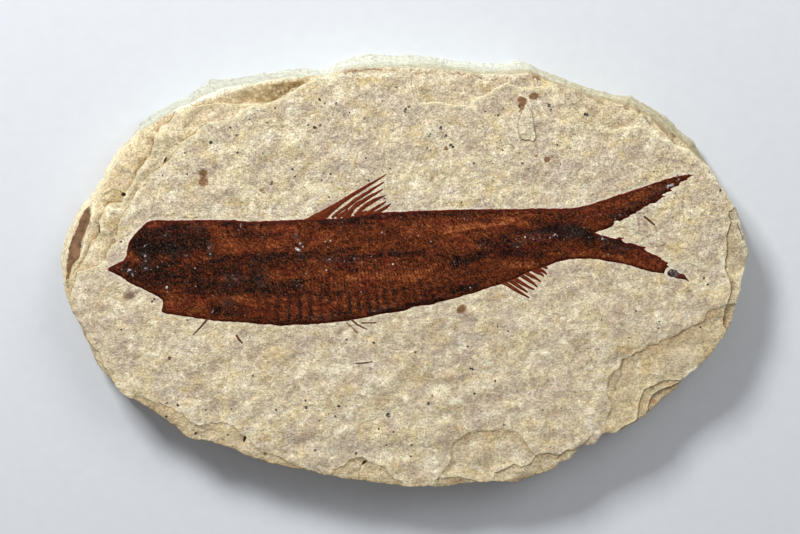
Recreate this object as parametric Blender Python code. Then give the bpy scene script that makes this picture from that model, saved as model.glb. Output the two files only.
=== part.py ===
"""A fossil fish on an oval slab of bedded limestone.

The slab lies on its flat back with the fish face up (+Z). The long axis is X, the head points to -X and
the fish's back to +Y. The origin is the middle of the slab's box, on its back. Points are drawn in
millimetres from the face's own middle, and become metres when a mesh is made.
"""

import math

import bmesh
import bpy
import numpy as np
from mathutils import Vector, noise
from mathutils.geometry import delaunay_2d_cdt

MM = 0.001

# Driving dimensions of the slab, in millimetres
FACE_HEIGHT = 12.0          # the face above the flat back
OUTLINE_GROWTH = 1.02       # the widest outline, against how it is drawn at the face
OUTLINE_DROP = -1.04
FACE_MIDDLE = (0.0, 1.8)    # the drawing's origin, from the middle of the slab's box
LEDGE_RUN = 0.35            # how far a ledge's foot stands from its lip
LUMP_HEIGHT = 0.24
LUMP_SIZE = 11.0
LUMP_LEAN = 25.0            # degrees from the long axis that the swells run
RIM_WEAR = 0.45             # how much the rim is rounded down, and how far in
RIM_WEAR_REACH = 1.3

# The broken sides, as shares of the way down from the rim to the back
SIDE_LEVELS = (0.13, 0.16, 0.31, 0.34, 0.49, 0.52, 0.72, 0.86, 1.0)
WIDEST_SHARE = 0.72         # where they stand out furthest
SIDE_BULGE = 0.85           # under 1 bows them outwards
SIDE_LEAST = 0.4            # the least that the widest outline stands outside the rim
BACK_INSET = 1.1            # the back's edge, inside the widest outline
BED_THICKNESS = 1.7         # the beds that show as steps in them
BED_RELIEF = 0.8
BED_SWING = 9.0             # how far along the side a bed's step changes
OVAL = 1.6                  # the outline's length over its height

# Driving dimensions of the fish, in millimetres
FISH_SINK = 0.3             # its underside below the face
FISH_EDGE = 0.35            # its edge above the face
FISH_CROWN = 0.55           # the most that its middle stands above its edge
CROWN_REACH = 3.5
RIDGE_HEIGHT = 0.14         # along the backbone
RIDGE_WIDTH = 1.6
BACKBONE_X = (-58, -20, 10, 30, 41)
BACKBONE_Y = (0.5, 1.5, 4.0, 7.0, 8.2)
GILL_EDGE = -41.5           # the head and gill cover stand higher in front of this line
GILL_HEIGHT = 0.18
GILL_RAMP = 1.5
GILL_REACH = 3.0
FLAT_REACH = 1.5            # the face stays flat this near to the fish, and swells fully further off
SWELL_REACH = 5.0
GAP = 0.3
POCKET_LIP = 0.25
RAY_BOTTOM = 0.3            # the fin rays' height over the face, below and above
RAY_TOP = 0.62
RAY_STAGGER = 0.01          # keeps the tops of neighbouring rays out of one plane
TOOTH_PITCH = 1.5
TOOTH_DEPTH = 0.55
TOOTH_ROOT = 0.75           # where along its pitch a tooth is cut deepest
TIP_CROWN = 0.2

# Mesh sizes, in millimetres
FACE_GRID = 3.5
FISH_GRID = 2.5
TIP_GRID = 1.2
OUTLINE_STEP = 3.0
LEDGE_STEP = 2.2
MERGE = 0.1

# The widest outline, clockwise from the left end, as drawn at the face
OUTLINE = [
    (-75.1, 2), (-74.8, 5), (-73.3, 9.1), (-70.9, 13.3), (-69.2, 15), (-65.7, 20.1), (-64.4, 22.8),
    (-62.6, 25.8), (-59.9, 28.2), (-56.9, 32), (-53.6, 34.4), (-47, 37.8), (-43.2, 40.3), (-41.9, 41.7),
    (-33, 42.5), (-25, 43.4), (-21.8, 43.9), (-16.7, 43.6), (-14.4, 45.3), (-10, 46.8), (0, 46.7),
    (7.5, 46), (18.3, 44.7), (24, 45.5), (28.8, 44.1), (33.5, 41.9), (40, 39.6), (45, 38.3), (48.9, 38.1),
    (53, 35.7), (56, 33.7), (59.5, 30.3), (62.5, 28.2), (65.8, 22.8), (68.3, 18.9), (71.6, 14.5),
    (73.3, 10), (74.8, 5.3), (75.1, 3), (74.3, 0), (73.2, -5), (72.1, -10), (69.3, -15), (67.5, -18.3),
    (63.8, -22), (61, -24.7), (57.3, -28.6), (54.2, -31.3), (50, -34.1), (47, -35.9), (44.3, -36.2),
    (42, -38.5), (39, -38.8), (36.5, -41.9), (31.5, -44.9), (25.3, -47), (16.5, -47.1), (8, -48.2),
    (0, -48.3), (-8, -47), (-16, -46), (-20, -44.7), (-26, -43.8), (-32, -42.3), (-38.5, -39.6),
    (-42, -38.2), (-47.7, -37.1), (-50, -35), (-57.2, -29.8), (-62, -27.2), (-66.3, -21.8), (-70.1, -14.7),
    (-72.5, -9.4), (-74.5, -2.7),
]

# The rim, where the face ends and the broken side begins
RIM = [
    (-72.9, 3), (-71.9, 9), (-70.3, 12.3), (-68.2, 14.8), (-65.2, 18.6), (-63.4, 22.2), (-60.3, 26.8),
    (-57, 30.6), (-52, 33.8), (-46, 36.8), (-40, 39), (-34, 40.6), (-25, 41.8), (-15, 42.3), (-4, 42.8),
    (8, 43), (17, 42.3), (27, 42.7), (33.5, 40.2), (42, 37.4), (50, 35), (56, 31.2), (60.5, 27.8),
    (64.4, 23.6), (68, 17.9), (71.2, 13), (73, 8), (73.8, 3), (72.8, -2.5), (71.5, -8.5), (68.3, -15.8),
    (65.4, -19.8), (60.8, -24), (55.2, -29.4), (50, -33.5), (46.5, -35.3), (43.2, -36.1), (41.2, -38),
    (38.2, -38.7), (35.8, -41.6), (31, -44.2), (25, -46.4), (14, -46.8), (3, -47.7), (-6, -47),
    (-17, -45.2), (-25, -43.2), (-34, -40.5), (-42, -37.5), (-49, -35.3), (-54, -31.5), (-61, -27.2),
    (-66, -21.4), (-69.8, -14.5), (-72.4, -8), (-73.3, -2),
]

# Ledges: the upper edge of each, then points outside the slab that close its lower ground.
# The ground starts `drop` below and sinks by `slope` a millimetre, down to `most` further.
LEDGES = {
    "left_upper": dict(drop=0.6, slope=0.06, most=1.0, edge=[
        (-19, 44), (-21, 41.2), (-25, 38.6), (-28, 37), (-33, 35.6), (-36, 33.8), (-40, 32.6),
        (-45.3, 30.6), (-48.5, 28), (-51, 24.3), (-55, 21), (-57, 18), (-60.2, 13), (-61.9, 10.6),
        (-63, 6), (-65.3, 2.2), (-69.6, -0.1), (-71.5, -1.2), (-72.6, -5), (-75, -9)],
        around=[(-90, -9), (-90, 60), (-19, 60)]),
    "left_middle": dict(drop=0.7, slope=0.1, most=1.2, edge=[
        (-48.5, 38), (-50.5, 33.6), (-54.2, 29.3), (-55.4, 25), (-58, 21.4), (-60, 17.8), (-61.7, 14.6),
        (-64.5, 14.2), (-66.7, 10.6), (-66.6, 8), (-69.2, 4.2), (-70.3, 1.2), (-72, -0.8), (-75, -4)],
        around=[(-90, -4), (-90, 60), (-48.5, 60)]),
    "left_outer": dict(drop=1.1, slope=0.1, most=0.4, edge=[
        (-69.6, 17.5), (-68.3, 12), (-69.8, 7.5), (-70.6, 3.5), (-72.4, 0.8), (-73.4, -3), (-75, -5)],
        around=[(-90, -5), (-90, 17.5)]),
    "upper_hollow": dict(drop=1.0, slope=-0.24, most=1.0, edge=[
        (-48, 37.5), (-46, 35.6), (-40, 36.5), (-32, 36.4), (-27.8, 36.9), (-25.2, 38.9), (-22, 40.4),
        (-20.3, 41.8), (-19.5, 44)],
        around=[(-19.5, 60), (-48, 60)]),
    "upper_middle": dict(drop=0.3, slope=0.02, most=0.2, edge=[
        (0.8, 46), (1.4, 41), (3, 37), (8, 36), (13, 35.6), (16, 37.7), (21.5, 40.2), (25, 39.2),
        (31, 40), (34.5, 43)],
        around=[(34.5, 60), (0.8, 60)]),
    "upper_right": dict(drop=0.35, slope=0.02, most=0.2, edge=[
        (35.5, 44), (37.2, 38.9), (41, 33.3), (45.5, 30.5), (50.5, 31.5), (53.2, 30.4), (57.5, 28),
        (62, 26.4), (67, 22.5)],
        around=[(90, 22.5), (90, 60), (35.5, 60)]),
    "right_rim": dict(drop=0.5, slope=0.12, most=0.6, edge=[
        (74, 13.6), (70.5, 13), (71, 9.9), (70.2, 6), (70, 0.5), (71.2, -4.8), (69.9, -8.5), (69.6, -12),
        (72, -16)],
        around=[(90, -16), (90, 13.6)]),
    "lower_right": dict(drop=0.85, slope=0.03, most=0.5, edge=[
        (76, -6.6), (71, -7.6), (67.5, -8), (64.9, -10.9), (60, -13.6), (55, -16), (51.5, -17.3),
        (47.5, -19.5), (44.6, -24), (44.2, -27.5), (44.8, -29.6), (43.7, -33), (44.4, -38)],
        around=[(44.4, -60), (90, -60), (90, -6.6)]),
    "lower_right_step": dict(drop=0.6, slope=0.04, most=0.3, edge=[
        (64, -22.8), (60.3, -23.9), (55, -25), (52.3, -26.6), (50.9, -30), (50.1, -33), (47, -34.6),
        (45.6, -38)],
        around=[(45.6, -60), (90, -60), (90, -22.8)]),
    "lower_right_foot": dict(drop=0.7, slope=0.1, most=0.5, edge=[
        (63, -24.3), (57, -26), (54.3, -27.5), (53, -30.4), (52.8, -35)],
        around=[(52.8, -60), (90, -60), (90, -24.3)]),
    "bottom_scallop": dict(drop=0.3, slope=0.015, most=0.3, edge=[
        (6.4, -50), (8.5, -43.5), (10.2, -40.5), (13.5, -36.8), (20, -35.8), (25, -36), (28.3, -39.7),
        (31, -42), (32.5, -48)],
        around=[(32.5, -60), (6.4, -60)]),
    "bottom_chip": dict(drop=0.6, slope=0.1, most=0.4, edge=[
        (19.6, -49), (20.8, -45), (24, -43), (26.6, -43.6), (29.7, -40.7), (35, -41), (38.2, -39),
        (40.5, -36)],
        around=[(60, -60), (19.6, -60)]),
    "bottom_notch": dict(drop=1.1, slope=0.05, most=0.4, edge=[
        (-17.5, -48), (-15.5, -44.6), (-11, -42), (-8.8, -43), (-10.2, -45.5), (-10.4, -50)],
        around=[(-10.4, -60), (-17.5, -60)]),
    "bottom_middle": dict(drop=0.45, slope=0.05, most=0.4, edge=[
        (-9.4, -50), (-9.2, -45.5), (-7.6, -42.4), (-4, -44), (-1.4, -46.8), (-0.4, -51)],
        around=[(-0.4, -60), (-9.4, -60)]),
    "lower_left": dict(drop=0.6, slope=0.08, most=0.6, edge=[
        (-62, -31), (-59, -28.4), (-55, -29.6), (-50, -30.6), (-47.6, -33.8), (-43, -34.2), (-38.5, -33.9),
        (-35.4, -36.4), (-31, -39.8), (-25, -42.2), (-19, -43.6), (-16.6, -48)],
        around=[(-16.6, -60), (-62, -60)]),
    "left_lower_rim": dict(drop=0.7, slope=0.15, most=0.5, edge=[
        (-74.6, -10.5), (-70.4, -11.8), (-67.3, -17.5), (-64.5, -22.4), (-62.4, -26), (-60.6, -30.5)],
        around=[(-60.6, -60), (-90, -60), (-90, -10.5)]),
}

# Small holes in the rim's ledges: place, size along and across, heading in degrees, depth
PITS = [
    (-61.2, 16.4, 1.3, 1.0, 0, 1.3), (-35.2, -37.9, 2.0, 1.0, 75, 1.4), (67.9, 17.5, 1.3, 0.9, 60, 1.0),
    (-8.9, -43.3, 1.2, 1.0, 40, 0.8), (-51.4, 24.1, 1.6, 0.8, 60, 0.8),
]
PIT_FLOOR = 0.5    # the floor's share of the brim's size
PIT_CORNERS = 8

# A thin drop-shaped flake that stands on the face
FLAKE = [
    (26.5, 36.2), (27.4, 34.4), (28.1, 30.5), (28.1, 28.4), (26.7, 28.3), (25.2, 29), (24.8, 31.5),
    (25.5, 34.4),
]
FLAKE_HEIGHT = 0.3
FLAKE_BRINK = 0.05    # how far its upper edge stands inside the outline
FLAKE_FOOT = 0.25     # how far its foot stands outside

# The fish's outline from the snout along the back, round the forked tail and back along the belly.
# The two frayed stretches of the tail are toothed inwards from it.
FISH_BACK = [
    (-64.7, 0), (-64.1, 0.8), (-60.9, 2.3), (-60.1, 5.6), (-58.9, 7.4), (-55.8, 10), (-53.5, 10.5),
    (-46, 10.9), (-38, 10.9), (-34.5, 10.5), (-28, 10.9), (-21.5, 11.1), (-14, 11.3), (-10, 12), (-3, 12.7),
    (6, 13.1), (20, 13.3), (30, 13.5), (36, 13.4), (39, 13.9), (44, 15.7), (50, 17.7), (56, 19.6),
    (62.3, 20.7),
]
UPPER_FRAY = [(61.6, 19.9), (57.6, 17.4), (55, 15.8), (51, 13.4), (47.5, 11.3), (45, 9.8), (42.3, 8.9)]
FORK = [(41.1, 8.2)]
POCKET_FORK = [(46.2, 10.2), (45.6, 8.5), (46.4, 7.2)]    # the pocket in the stone stops short of the fork
LOWER_FRAY = [(43.8, 7.5), (47.3, 6.9), (51.9, 5.2), (55.7, 3), (57.5, 1)]
FISH_BELLY = [
    (56.4, -0.9), (53.5, -0.3), (50, 0.8), (45, 1.8), (40, 2.5), (36, 2.3), (33, 1.7), (30.7, 0.7),
    (27.2, -0.4), (22.3, -2.7), (20, -3.3), (15, -5), (10, -6.5), (4, -7.9), (-1, -9.1), (-8, -10.4),
    (-15, -11.5), (-24, -12), (-31, -12), (-38, -11.3), (-43, -11), (-48, -10.2), (-52.3, -9.7),
    (-53.2, -9.1), (-52.8, -6.4), (-57, -4.2), (-61, -2.1),
]

# Fin rays: middle lines from root to tip
DORSAL_RAYS = [
    [(-20.5, 10.6), (-17, 13), (-12, 16), (-8, 18.4), (-5.2, 20.1)],
    [(-17, 10.8), (-14.4, 12.8), (-10, 16), (-4.4, 19.3)],
    [(-14.4, 11), (-12, 13.2), (-8.6, 15.7), (-4.7, 17.7)],
    [(-11.4, 11.2), (-8.5, 13.4), (-4.8, 16)],
    [(-9.4, 11.6), (-7, 13.2), (-4.1, 15)],
    [(-7.6, 12), (-5.3, 13.2), (-3, 14.3)],
]
ANAL_RAYS = [
    [(20.6, -2.6), (23, -3.7), (25, -4.9), (27.1, -6.1)],
    [(22, -2.2), (24, -3.2), (26.9, -4.9)],
    [(23.6, -1.4), (26, -2.9), (28.3, -4.3)],
    [(24.8, -0.8), (27, -2.2), (28.9, -3.6)],
    [(26, -0.2), (27.8, -1.4), (29.7, -2.5)],
    [(27.3, 0.3), (28.6, -0.5), (30, -1.3)],
    [(28.8, 0.9), (29.8, 0), (31, -0.9)],
]
PECTORAL_RAY = [(-42.4, -10), (-44.4, -12.3), (-46.3, -14.4)]
PELVIC_RAY = [(-12.2, -10.4), (-10.4, -12), (-8.2, -13.1)]
RAY_WIDTHS = (0.7, 0.62, 0.3)    # at the root, half way and the tip

# Bits that broke away from the fish
TAIL_TIP = [
    (57.6, -1.2), (57.9, -0.3), (58.6, 0.2), (59.4, -0.4), (60.8, -1.3), (61.8, -2.5), (60.4, -2.1),
    (58.7, -1.7),
]
LOOSE_RAY = [(52, 11.8), (53.1, 10.9), (54.4, 9.8)]
RIB_SPLINTER = [(-36.8, -14.3), (-36.3, -15.3), (-35.5, -16.1)]
NEEDLE = [(-10.7, -20.6), (-8.8, -20.5), (-7, -20.2)]
SPLINTER_WIDTHS = (0.4, 0.5, 0.36)

LIMESTONE = (0.70, 0.62, 0.47)
FISH_BROWN = (0.12, 0.032, 0.014)
TIP_BROWN = (0.13, 0.07, 0.06)
RAY_BROWN = (0.22, 0.075, 0.02)


def clear_scene():
    for obj in list(bpy.data.objects):
        bpy.data.objects.remove(obj, do_unlink=True)


def material(name, colour, roughness):
    made = bpy.data.materials.new(name)
    made.use_nodes = True
    shader = made.node_tree.nodes["Principled BSDF"]
    shader.inputs["Base Color"].default_value = (*colour, 1.0)
    shader.inputs["Roughness"].default_value = roughness
    shader.inputs["Metallic"].default_value = 0.0
    made.diffuse_color = (*colour, 1.0)
    return made


# Plane geometry on arrays of points

def resample(points, step, closed):
    """The same line with its long stretches cut into pieces no longer than step."""
    ends = points[1:] + points[:1] if closed else points[1:]
    out = []
    for a, b in zip(points, ends):
        count = max(1, math.ceil(math.dist(a, b) / step))
        out += [(a[0] + (b[0] - a[0]) * k / count, a[1] + (b[1] - a[1]) * k / count) for k in range(count)]
    return np.array(out if closed else out + [points[-1]], float)


def distance_to(points, line, closed):
    """Distance from each point to a line of straight stretches."""
    line = np.asarray(line, float)
    starts = line if closed else line[:-1]
    runs = (np.roll(line, -1, axis=0) if closed else line[1:]) - starts
    best = np.full(len(points), np.inf)
    for start, run in zip(starts, runs):
        along = np.clip((points - start) @ run / max(run @ run, 1e-12), 0, 1)
        best = np.minimum(best, np.linalg.norm(points - start - along[:, None] * run, axis=1))
    return best


def inside(points, outline):
    """Whether each point lies within a closed outline."""
    outline = np.asarray(outline, float)
    hit = np.zeros(len(points), bool)
    for a, b in zip(outline, np.roll(outline, -1, axis=0)):
        crosses = (a[1] > points[:, 1]) != (b[1] > points[:, 1])
        rise = b[1] - a[1] if b[1] != a[1] else 1e-12
        hit ^= crosses & (points[:, 0] < (b[0] - a[0]) * (points[:, 1] - a[1]) / rise + a[0])
    return hit


def offset(line, amount, closed):
    """The line moved to its left by amount, with mitred corners."""
    line = np.asarray(line, float)
    before = np.roll(line, 1, axis=0)
    after = np.roll(line, -1, axis=0)
    if not closed:
        before[0] = line[0] - (line[1] - line[0])
        after[-1] = line[-1] + (line[-1] - line[-2])
    def left(run):
        return np.c_[-run[:, 1], run[:, 0]] / np.maximum(np.linalg.norm(run, axis=1), 1e-9)[:, None]
    first, second = left(line - before), left(after - line)
    middle = first + second
    middle /= np.maximum(np.linalg.norm(middle, axis=1), 1e-9)[:, None]
    stretch = 1 / np.clip((middle * first).sum(axis=1), 0.45, 1)
    return line + middle * (amount * stretch)[:, None]


def counter_clockwise(outline):
    outline = np.asarray(outline, float)
    after = np.roll(outline, -1, axis=0)
    area = (outline[:, 0] * after[:, 1] - after[:, 0] * outline[:, 1]).sum()
    return outline if area > 0 else outline[::-1]


def hex_points(outline, spacing):
    """A field of evenly spread points over an outline's box."""
    low, high = np.min(outline, axis=0), np.max(outline, axis=0)
    rows = []
    for row, y in enumerate(np.arange(low[1], high[1], spacing * math.sqrt(3) / 2)):
        shift = spacing / 2 if row % 2 else 0.0
        rows += [(x, y) for x in np.arange(low[0] + shift, high[0], spacing)]
    return np.array(rows)


def triangulate(outline, lines, spacing):
    """Triangles over an outline that keep every given line as edges."""
    field = hex_points(outline, spacing)
    keep = inside(field, outline) & (distance_to(field, outline, True) > 0.6 * spacing)
    for line, closed in lines:
        keep &= distance_to(field, line, closed) > 0.5 * spacing
    points = [Vector(p) for p in outline]
    edges = [(i, (i + 1) % len(outline)) for i in range(len(outline))]
    for line, closed in lines:
        start = len(points)
        points += [Vector(p) for p in line]
        edges += [(start + i, start + i + 1) for i in range(len(line) - 1)]
        if closed:
            edges.append((len(points) - 1, start))
    points += [Vector(p) for p in field[keep]]
    flat, _, faces, *_ = delaunay_2d_cdt(points, edges, [], 1, 1e-4, False)
    flat = np.array([tuple(p) for p in flat])
    middles = np.array([flat[list(face)].mean(axis=0) for face in faces])
    return flat, [face for face, within in zip(faces, inside(middles, outline)) if within]


def flat_sheet(flat, faces):
    """A flat mesh of the triangles, with points closer than MERGE made one."""
    sheet = bmesh.new()
    made = [sheet.verts.new((x, y, 0)) for x, y in flat]
    for face in faces:
        sheet.faces.new([made[i] for i in face])
    bmesh.ops.delete(sheet, geom=[v for v in sheet.verts if not v.link_faces], context="VERTS")
    bmesh.ops.remove_doubles(sheet, verts=sheet.verts, dist=MERGE)
    bmesh.ops.dissolve_degenerate(sheet, edges=sheet.edges, dist=MERGE / 3)
    return sheet


def boundary_loop(sheet):
    """The sheet's outer points in order, anticlockwise from above."""
    edges = {e for e in sheet.edges if e.is_boundary}
    edge = next(iter(sorted(edges, key=lambda e: e.index)))
    loop = [edge.verts[0]]
    while True:
        step = next((e for e in loop[-1].link_edges if e in edges), None)
        if step is None:
            break
        edges.remove(step)
        loop.append(step.other_vert(loop[-1]))
    loop.pop()
    spots = [tuple(v.co.xy) for v in loop]
    area = sum(a[0] * b[1] - b[0] * a[1] for a, b in zip(spots, spots[1:] + spots[:1]))
    return loop if area > 0 else loop[::-1]


def finish_mesh(name, mesh, finish):
    """An object of one closed body, in metres round the slab's own origin."""
    bmesh.ops.triangulate(mesh, faces=mesh.faces[:])
    bmesh.ops.recalc_face_normals(mesh, faces=mesh.faces)
    for vert in mesh.verts:
        vert.co = Vector((vert.co.x + FACE_MIDDLE[0], vert.co.y + FACE_MIDDLE[1], vert.co.z)) * MM
    data = bpy.data.meshes.new(name)
    mesh.to_mesh(data)
    mesh.free()
    data.materials.append(finish)
    obj = bpy.data.objects.new(name, data)
    bpy.context.scene.collection.objects.link(obj)
    return obj


# The fish's outlines

def toothed(stretch, inward):
    """A frayed stretch: teeth cut inwards, pointing to the tail's end."""
    out = []
    for a, b in zip(stretch[:-1], stretch[1:]):
        a, b = np.array(a, float), np.array(b, float)
        count = max(1, round(np.linalg.norm(b - a) / TOOTH_PITCH))
        side = np.array([a[1] - b[1], b[0] - a[0]]) / np.linalg.norm(b - a) * inward
        for k in range(count):
            tip = a + (b - a) * k / count
            root = a + (b - a) * (k + TOOTH_ROOT) / count + side * TOOTH_DEPTH
            out += [tuple(tip), tuple(root)]
    return out + [stretch[-1]]


def fish_envelope():
    return counter_clockwise(FISH_BACK + UPPER_FRAY + FORK + LOWER_FRAY + FISH_BELLY)


def pocket_body():
    """The outline that the stone's pocket follows, blunt between the tail's lobes."""
    return counter_clockwise(FISH_BACK + UPPER_FRAY[:-2] + POCKET_FORK + LOWER_FRAY[1:] + FISH_BELLY)


def fish_outline():
    upper = toothed(UPPER_FRAY, -1)
    lower = toothed(LOWER_FRAY, -1)
    return counter_clockwise(FISH_BACK + upper + FORK + lower + FISH_BELLY)


def ray_outline(line, widths):
    """The outline of a tapered ray round its middle line."""
    line = np.array(line, float)
    share = np.linspace(0, 1, len(line))
    half = np.interp(share, (0, 0.5, 1), widths)[:, None] / 2
    side = offset(line, 1, False) - line
    return np.r_[line - side * half, (line + side * half)[::-1]]


# The slab

def ledge_ground(ledge):
    return ledge["edge"] + ledge["around"]


def ledge_lines(rim):
    """The lip and the foot of every ledge, which the face's mesh follows."""
    lines = []
    for ledge in LEDGES.values():
        lip = resample(ledge["edge"], LEDGE_STEP, False)
        foot = offset(lip, LEDGE_RUN, False)
        if inside(foot, ledge_ground(ledge)).mean() < 0.5:
            foot = offset(lip, -LEDGE_RUN, False)
        for line in (lip, foot):
            near = inside(line, rim) | (distance_to(line, rim, True) < LEDGE_STEP)
            lines.append((line[near], False))
    return lines


def ledge_depth(points):
    depth = np.zeros(len(points))
    for ledge in LEDGES.values():
        away = distance_to(points, ledge["edge"], False)
        further = np.maximum(away - LEDGE_RUN, 0) * ledge["slope"]
        lowered = ledge["drop"] + np.clip(further, -ledge["most"], ledge["most"])
        ramp = np.clip(away / LEDGE_RUN, 0, 1)
        depth += inside(points, ledge_ground(ledge)) * ramp * lowered
    return depth


def pit_depth(points):
    depth = np.zeros(len(points))
    for x, y, long, short, heading, deep in PITS:
        turn = math.radians(heading)
        along = (points[:, 0] - x) * math.cos(turn) + (points[:, 1] - y) * math.sin(turn)
        across = (points[:, 1] - y) * math.cos(turn) - (points[:, 0] - x) * math.sin(turn)
        reach = np.hypot(along / long, across / short)
        depth = np.maximum(depth, deep * np.clip((1 - reach) / (1 - PIT_FLOOR), 0, 1))
    return depth


def pit_lines():
    """The brim of every pit, and a smaller ring where its floor begins."""
    corners = math.tau * np.arange(PIT_CORNERS) / PIT_CORNERS
    lines = []
    for x, y, long, short, heading, _ in PITS:
        turn = math.radians(heading)
        u, v = long * np.cos(corners), short * np.sin(corners)
        ring = np.c_[u * math.cos(turn) - v * math.sin(turn), u * math.sin(turn) + v * math.cos(turn)]
        lines += [((x, y) + share * ring, True) for share in (1.0, PIT_FLOOR)]
    return lines


def lumps(points):
    """Soft swells of the bedding surface, longer towards the upper right."""
    lean = math.radians(LUMP_LEAN)
    out = []
    for x, y in points:
        u = (x * math.cos(lean) + y * math.sin(lean)) / (1.5 * LUMP_SIZE)
        v = (y * math.cos(lean) - x * math.sin(lean)) / LUMP_SIZE
        large = noise.noise(Vector((u, v, 3.7)))
        small = noise.noise(Vector((2 * u, 2 * v, 9.1)))
        out.append(large + 0.5 * small)
    return LUMP_HEIGHT * np.array(out)


def fossil_distance(points):
    """Distance to the nearest bit of fish, round which the face is flat."""
    bits = [(fish_envelope(), True), (np.array(TAIL_TIP), True)]
    rays = DORSAL_RAYS + ANAL_RAYS + [PECTORAL_RAY, PELVIC_RAY, LOOSE_RAY, RIB_SPLINTER, NEEDLE]
    bits += [(np.array(ray), False) for ray in rays]
    return np.min([distance_to(points, line, closed) for line, closed in bits], axis=0)


def face_height(points, rim):
    """The face's height over the drawing: swells, ledges, pits, the flake and the fish's pocket."""
    away = fossil_distance(points)
    height = FACE_HEIGHT + lumps(points) * np.clip((away - FLAT_REACH) / SWELL_REACH, 0, 1)
    height -= ledge_depth(points) + pit_depth(points)
    height -= RIM_WEAR * np.exp(-distance_to(points, rim, True) / RIM_WEAR_REACH)
    height += FLAKE_HEIGHT * inside(points, FLAKE)
    within = inside(points, offset(pocket_body(), -GAP - POCKET_LIP / 2, True))
    return np.where(within, FACE_HEIGHT - FISH_SINK - GAP, height)


def side_radius(outline, angles):
    """How far an outline stands from the middle at each angle of a circle squeezed to the oval."""
    squeezed = np.asarray(outline, float) * (1, OVAL)
    spots = np.arctan2(squeezed[:, 1], squeezed[:, 0])
    order = np.argsort(spots)
    return np.interp(angles, spots[order], np.hypot(*squeezed[order].T), period=math.tau)


def bed_step(x, y, height):
    """How far a bed's broken edge stands back at this place, from 0 to BED_RELIEF."""
    bed = math.floor(height / BED_THICKNESS + 0.25 * noise.noise(Vector((x, y, 0)) / 30))
    swing = noise.noise(Vector((x / BED_SWING + 17 * bed, y / BED_SWING, 5.3 * bed)))
    return BED_RELIEF * (0.5 + 0.5 * max(-1, min(1, 2 * swing)))


def build_slab(finish):
    rim = counter_clockwise(resample(RIM, OUTLINE_STEP, True))
    body = pocket_body()
    pocket = [(offset(body, -GAP, True), True), (offset(body, -GAP - POCKET_LIP, True), True)]
    flake = counter_clockwise(FLAKE)
    steps = [(offset(flake, amount, True), True) for amount in (FLAKE_BRINK, -FLAKE_FOOT)]
    lines = ledge_lines(rim) + pit_lines() + pocket + steps
    slab = flat_sheet(*triangulate(rim, lines, FACE_GRID))
    loop = boundary_loop(slab)
    points = np.array([v.co.xy for v in slab.verts])
    for vert, height in zip(slab.verts, face_height(points, rim)):
        vert.co.z = height
    add_side(slab, loop)
    return finish_mesh("limestone_slab", slab, finish)


def add_side(slab, loop):
    """The broken side from the rim down to the flat back, in steps of bedding, and the back."""
    spots = np.array([v.co.xy for v in loop])
    angles = np.arctan2(spots[:, 1] * OVAL, spots[:, 0])
    widest = [(x * OUTLINE_GROWTH, y * OUTLINE_GROWTH + OUTLINE_DROP) for x, y in OUTLINE]
    outer = side_radius(resample(widest, 1.0, True), angles)
    inner = np.hypot(spots[:, 0], spots[:, 1] * OVAL)
    above = loop
    for share in SIDE_LEVELS:
        out = min(share / WIDEST_SHARE, 1) ** SIDE_BULGE
        inset = BACK_INSET * max(share - WIDEST_SHARE, 0) / (1 - WIDEST_SHARE)
        level = []
        for vert, angle, near, far in zip(loop, angles, inner, outer):
            height = vert.co.z * (1 - share)
            radius = near + (max(far, near + SIDE_LEAST) - near) * out - inset
            x, y = radius * math.cos(angle), radius * math.sin(angle) / OVAL
            if share not in (WIDEST_SHARE, 1.0):
                back = bed_step(x, y, height) * min(1, 3 * share)
                x, y = x * (1 - back / radius), y * (1 - back / radius)
            level.append(slab.verts.new((x, y, height)))
        for i in range(len(loop)):
            j = (i + 1) % len(loop)
            slab.faces.new((above[i], level[i], level[j], above[j]))
        above = level
    slab.faces.new(above)


# The fish and its bits

def plate(name, outline, spacing, bottom, top, finish):
    """A plate over an outline: flat below at bottom, with top giving its upper side's heights."""
    sheet = flat_sheet(*triangulate(outline, [], spacing))
    loop = boundary_loop(sheet)
    points = np.array([v.co.xy for v in sheet.verts])
    for vert, height in zip(sheet.verts, top(points)):
        vert.co.z = height
    under = [sheet.verts.new((v.co.x, v.co.y, bottom)) for v in loop]
    for i in range(len(loop)):
        j = (i + 1) % len(loop)
        sheet.faces.new((loop[i], under[i], under[j], loop[j]))
    sheet.faces.new(under)
    return finish_mesh(name, sheet, finish)


def fish_top(points):
    """The pressed body: a low crown with a ridge along the backbone and a raised gill cover."""
    away = distance_to(points, fish_outline(), True)
    crown = FISH_CROWN * (1 - np.exp(-away / CROWN_REACH))
    backbone = np.interp(points[:, 0], BACKBONE_X, BACKBONE_Y)
    along = points[:, 0] < BACKBONE_X[-1]
    ridge = RIDGE_HEIGHT * np.exp(-((points[:, 1] - backbone) / RIDGE_WIDTH) ** 2) * along
    before = np.clip((GILL_EDGE - points[:, 0]) / GILL_RAMP, 0, 1)
    gill = GILL_HEIGHT * before * np.clip(away / GILL_REACH, 0, 1)
    return FACE_HEIGHT + FISH_EDGE + crown + ridge + gill


def build_rays(name, rays, widths, finish):
    """Rays as flat blades just above the face, each a closed body, in one mesh."""
    mesh = bmesh.new()
    for place, ray in enumerate(rays):
        outline = ray_outline(ray, widths)
        lift = RAY_STAGGER * (place % 3)
        low = [mesh.verts.new((x, y, FACE_HEIGHT + RAY_BOTTOM + lift)) for x, y in outline]
        high = [mesh.verts.new((x, y, FACE_HEIGHT + RAY_TOP + lift)) for x, y in outline]
        for i in range(len(outline)):
            j = (i + 1) % len(outline)
            mesh.faces.new((low[i], low[j], high[j], high[i]))
        mesh.faces.new(low[::-1])
        mesh.faces.new(high)
    return finish_mesh(name, mesh, finish)


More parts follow.
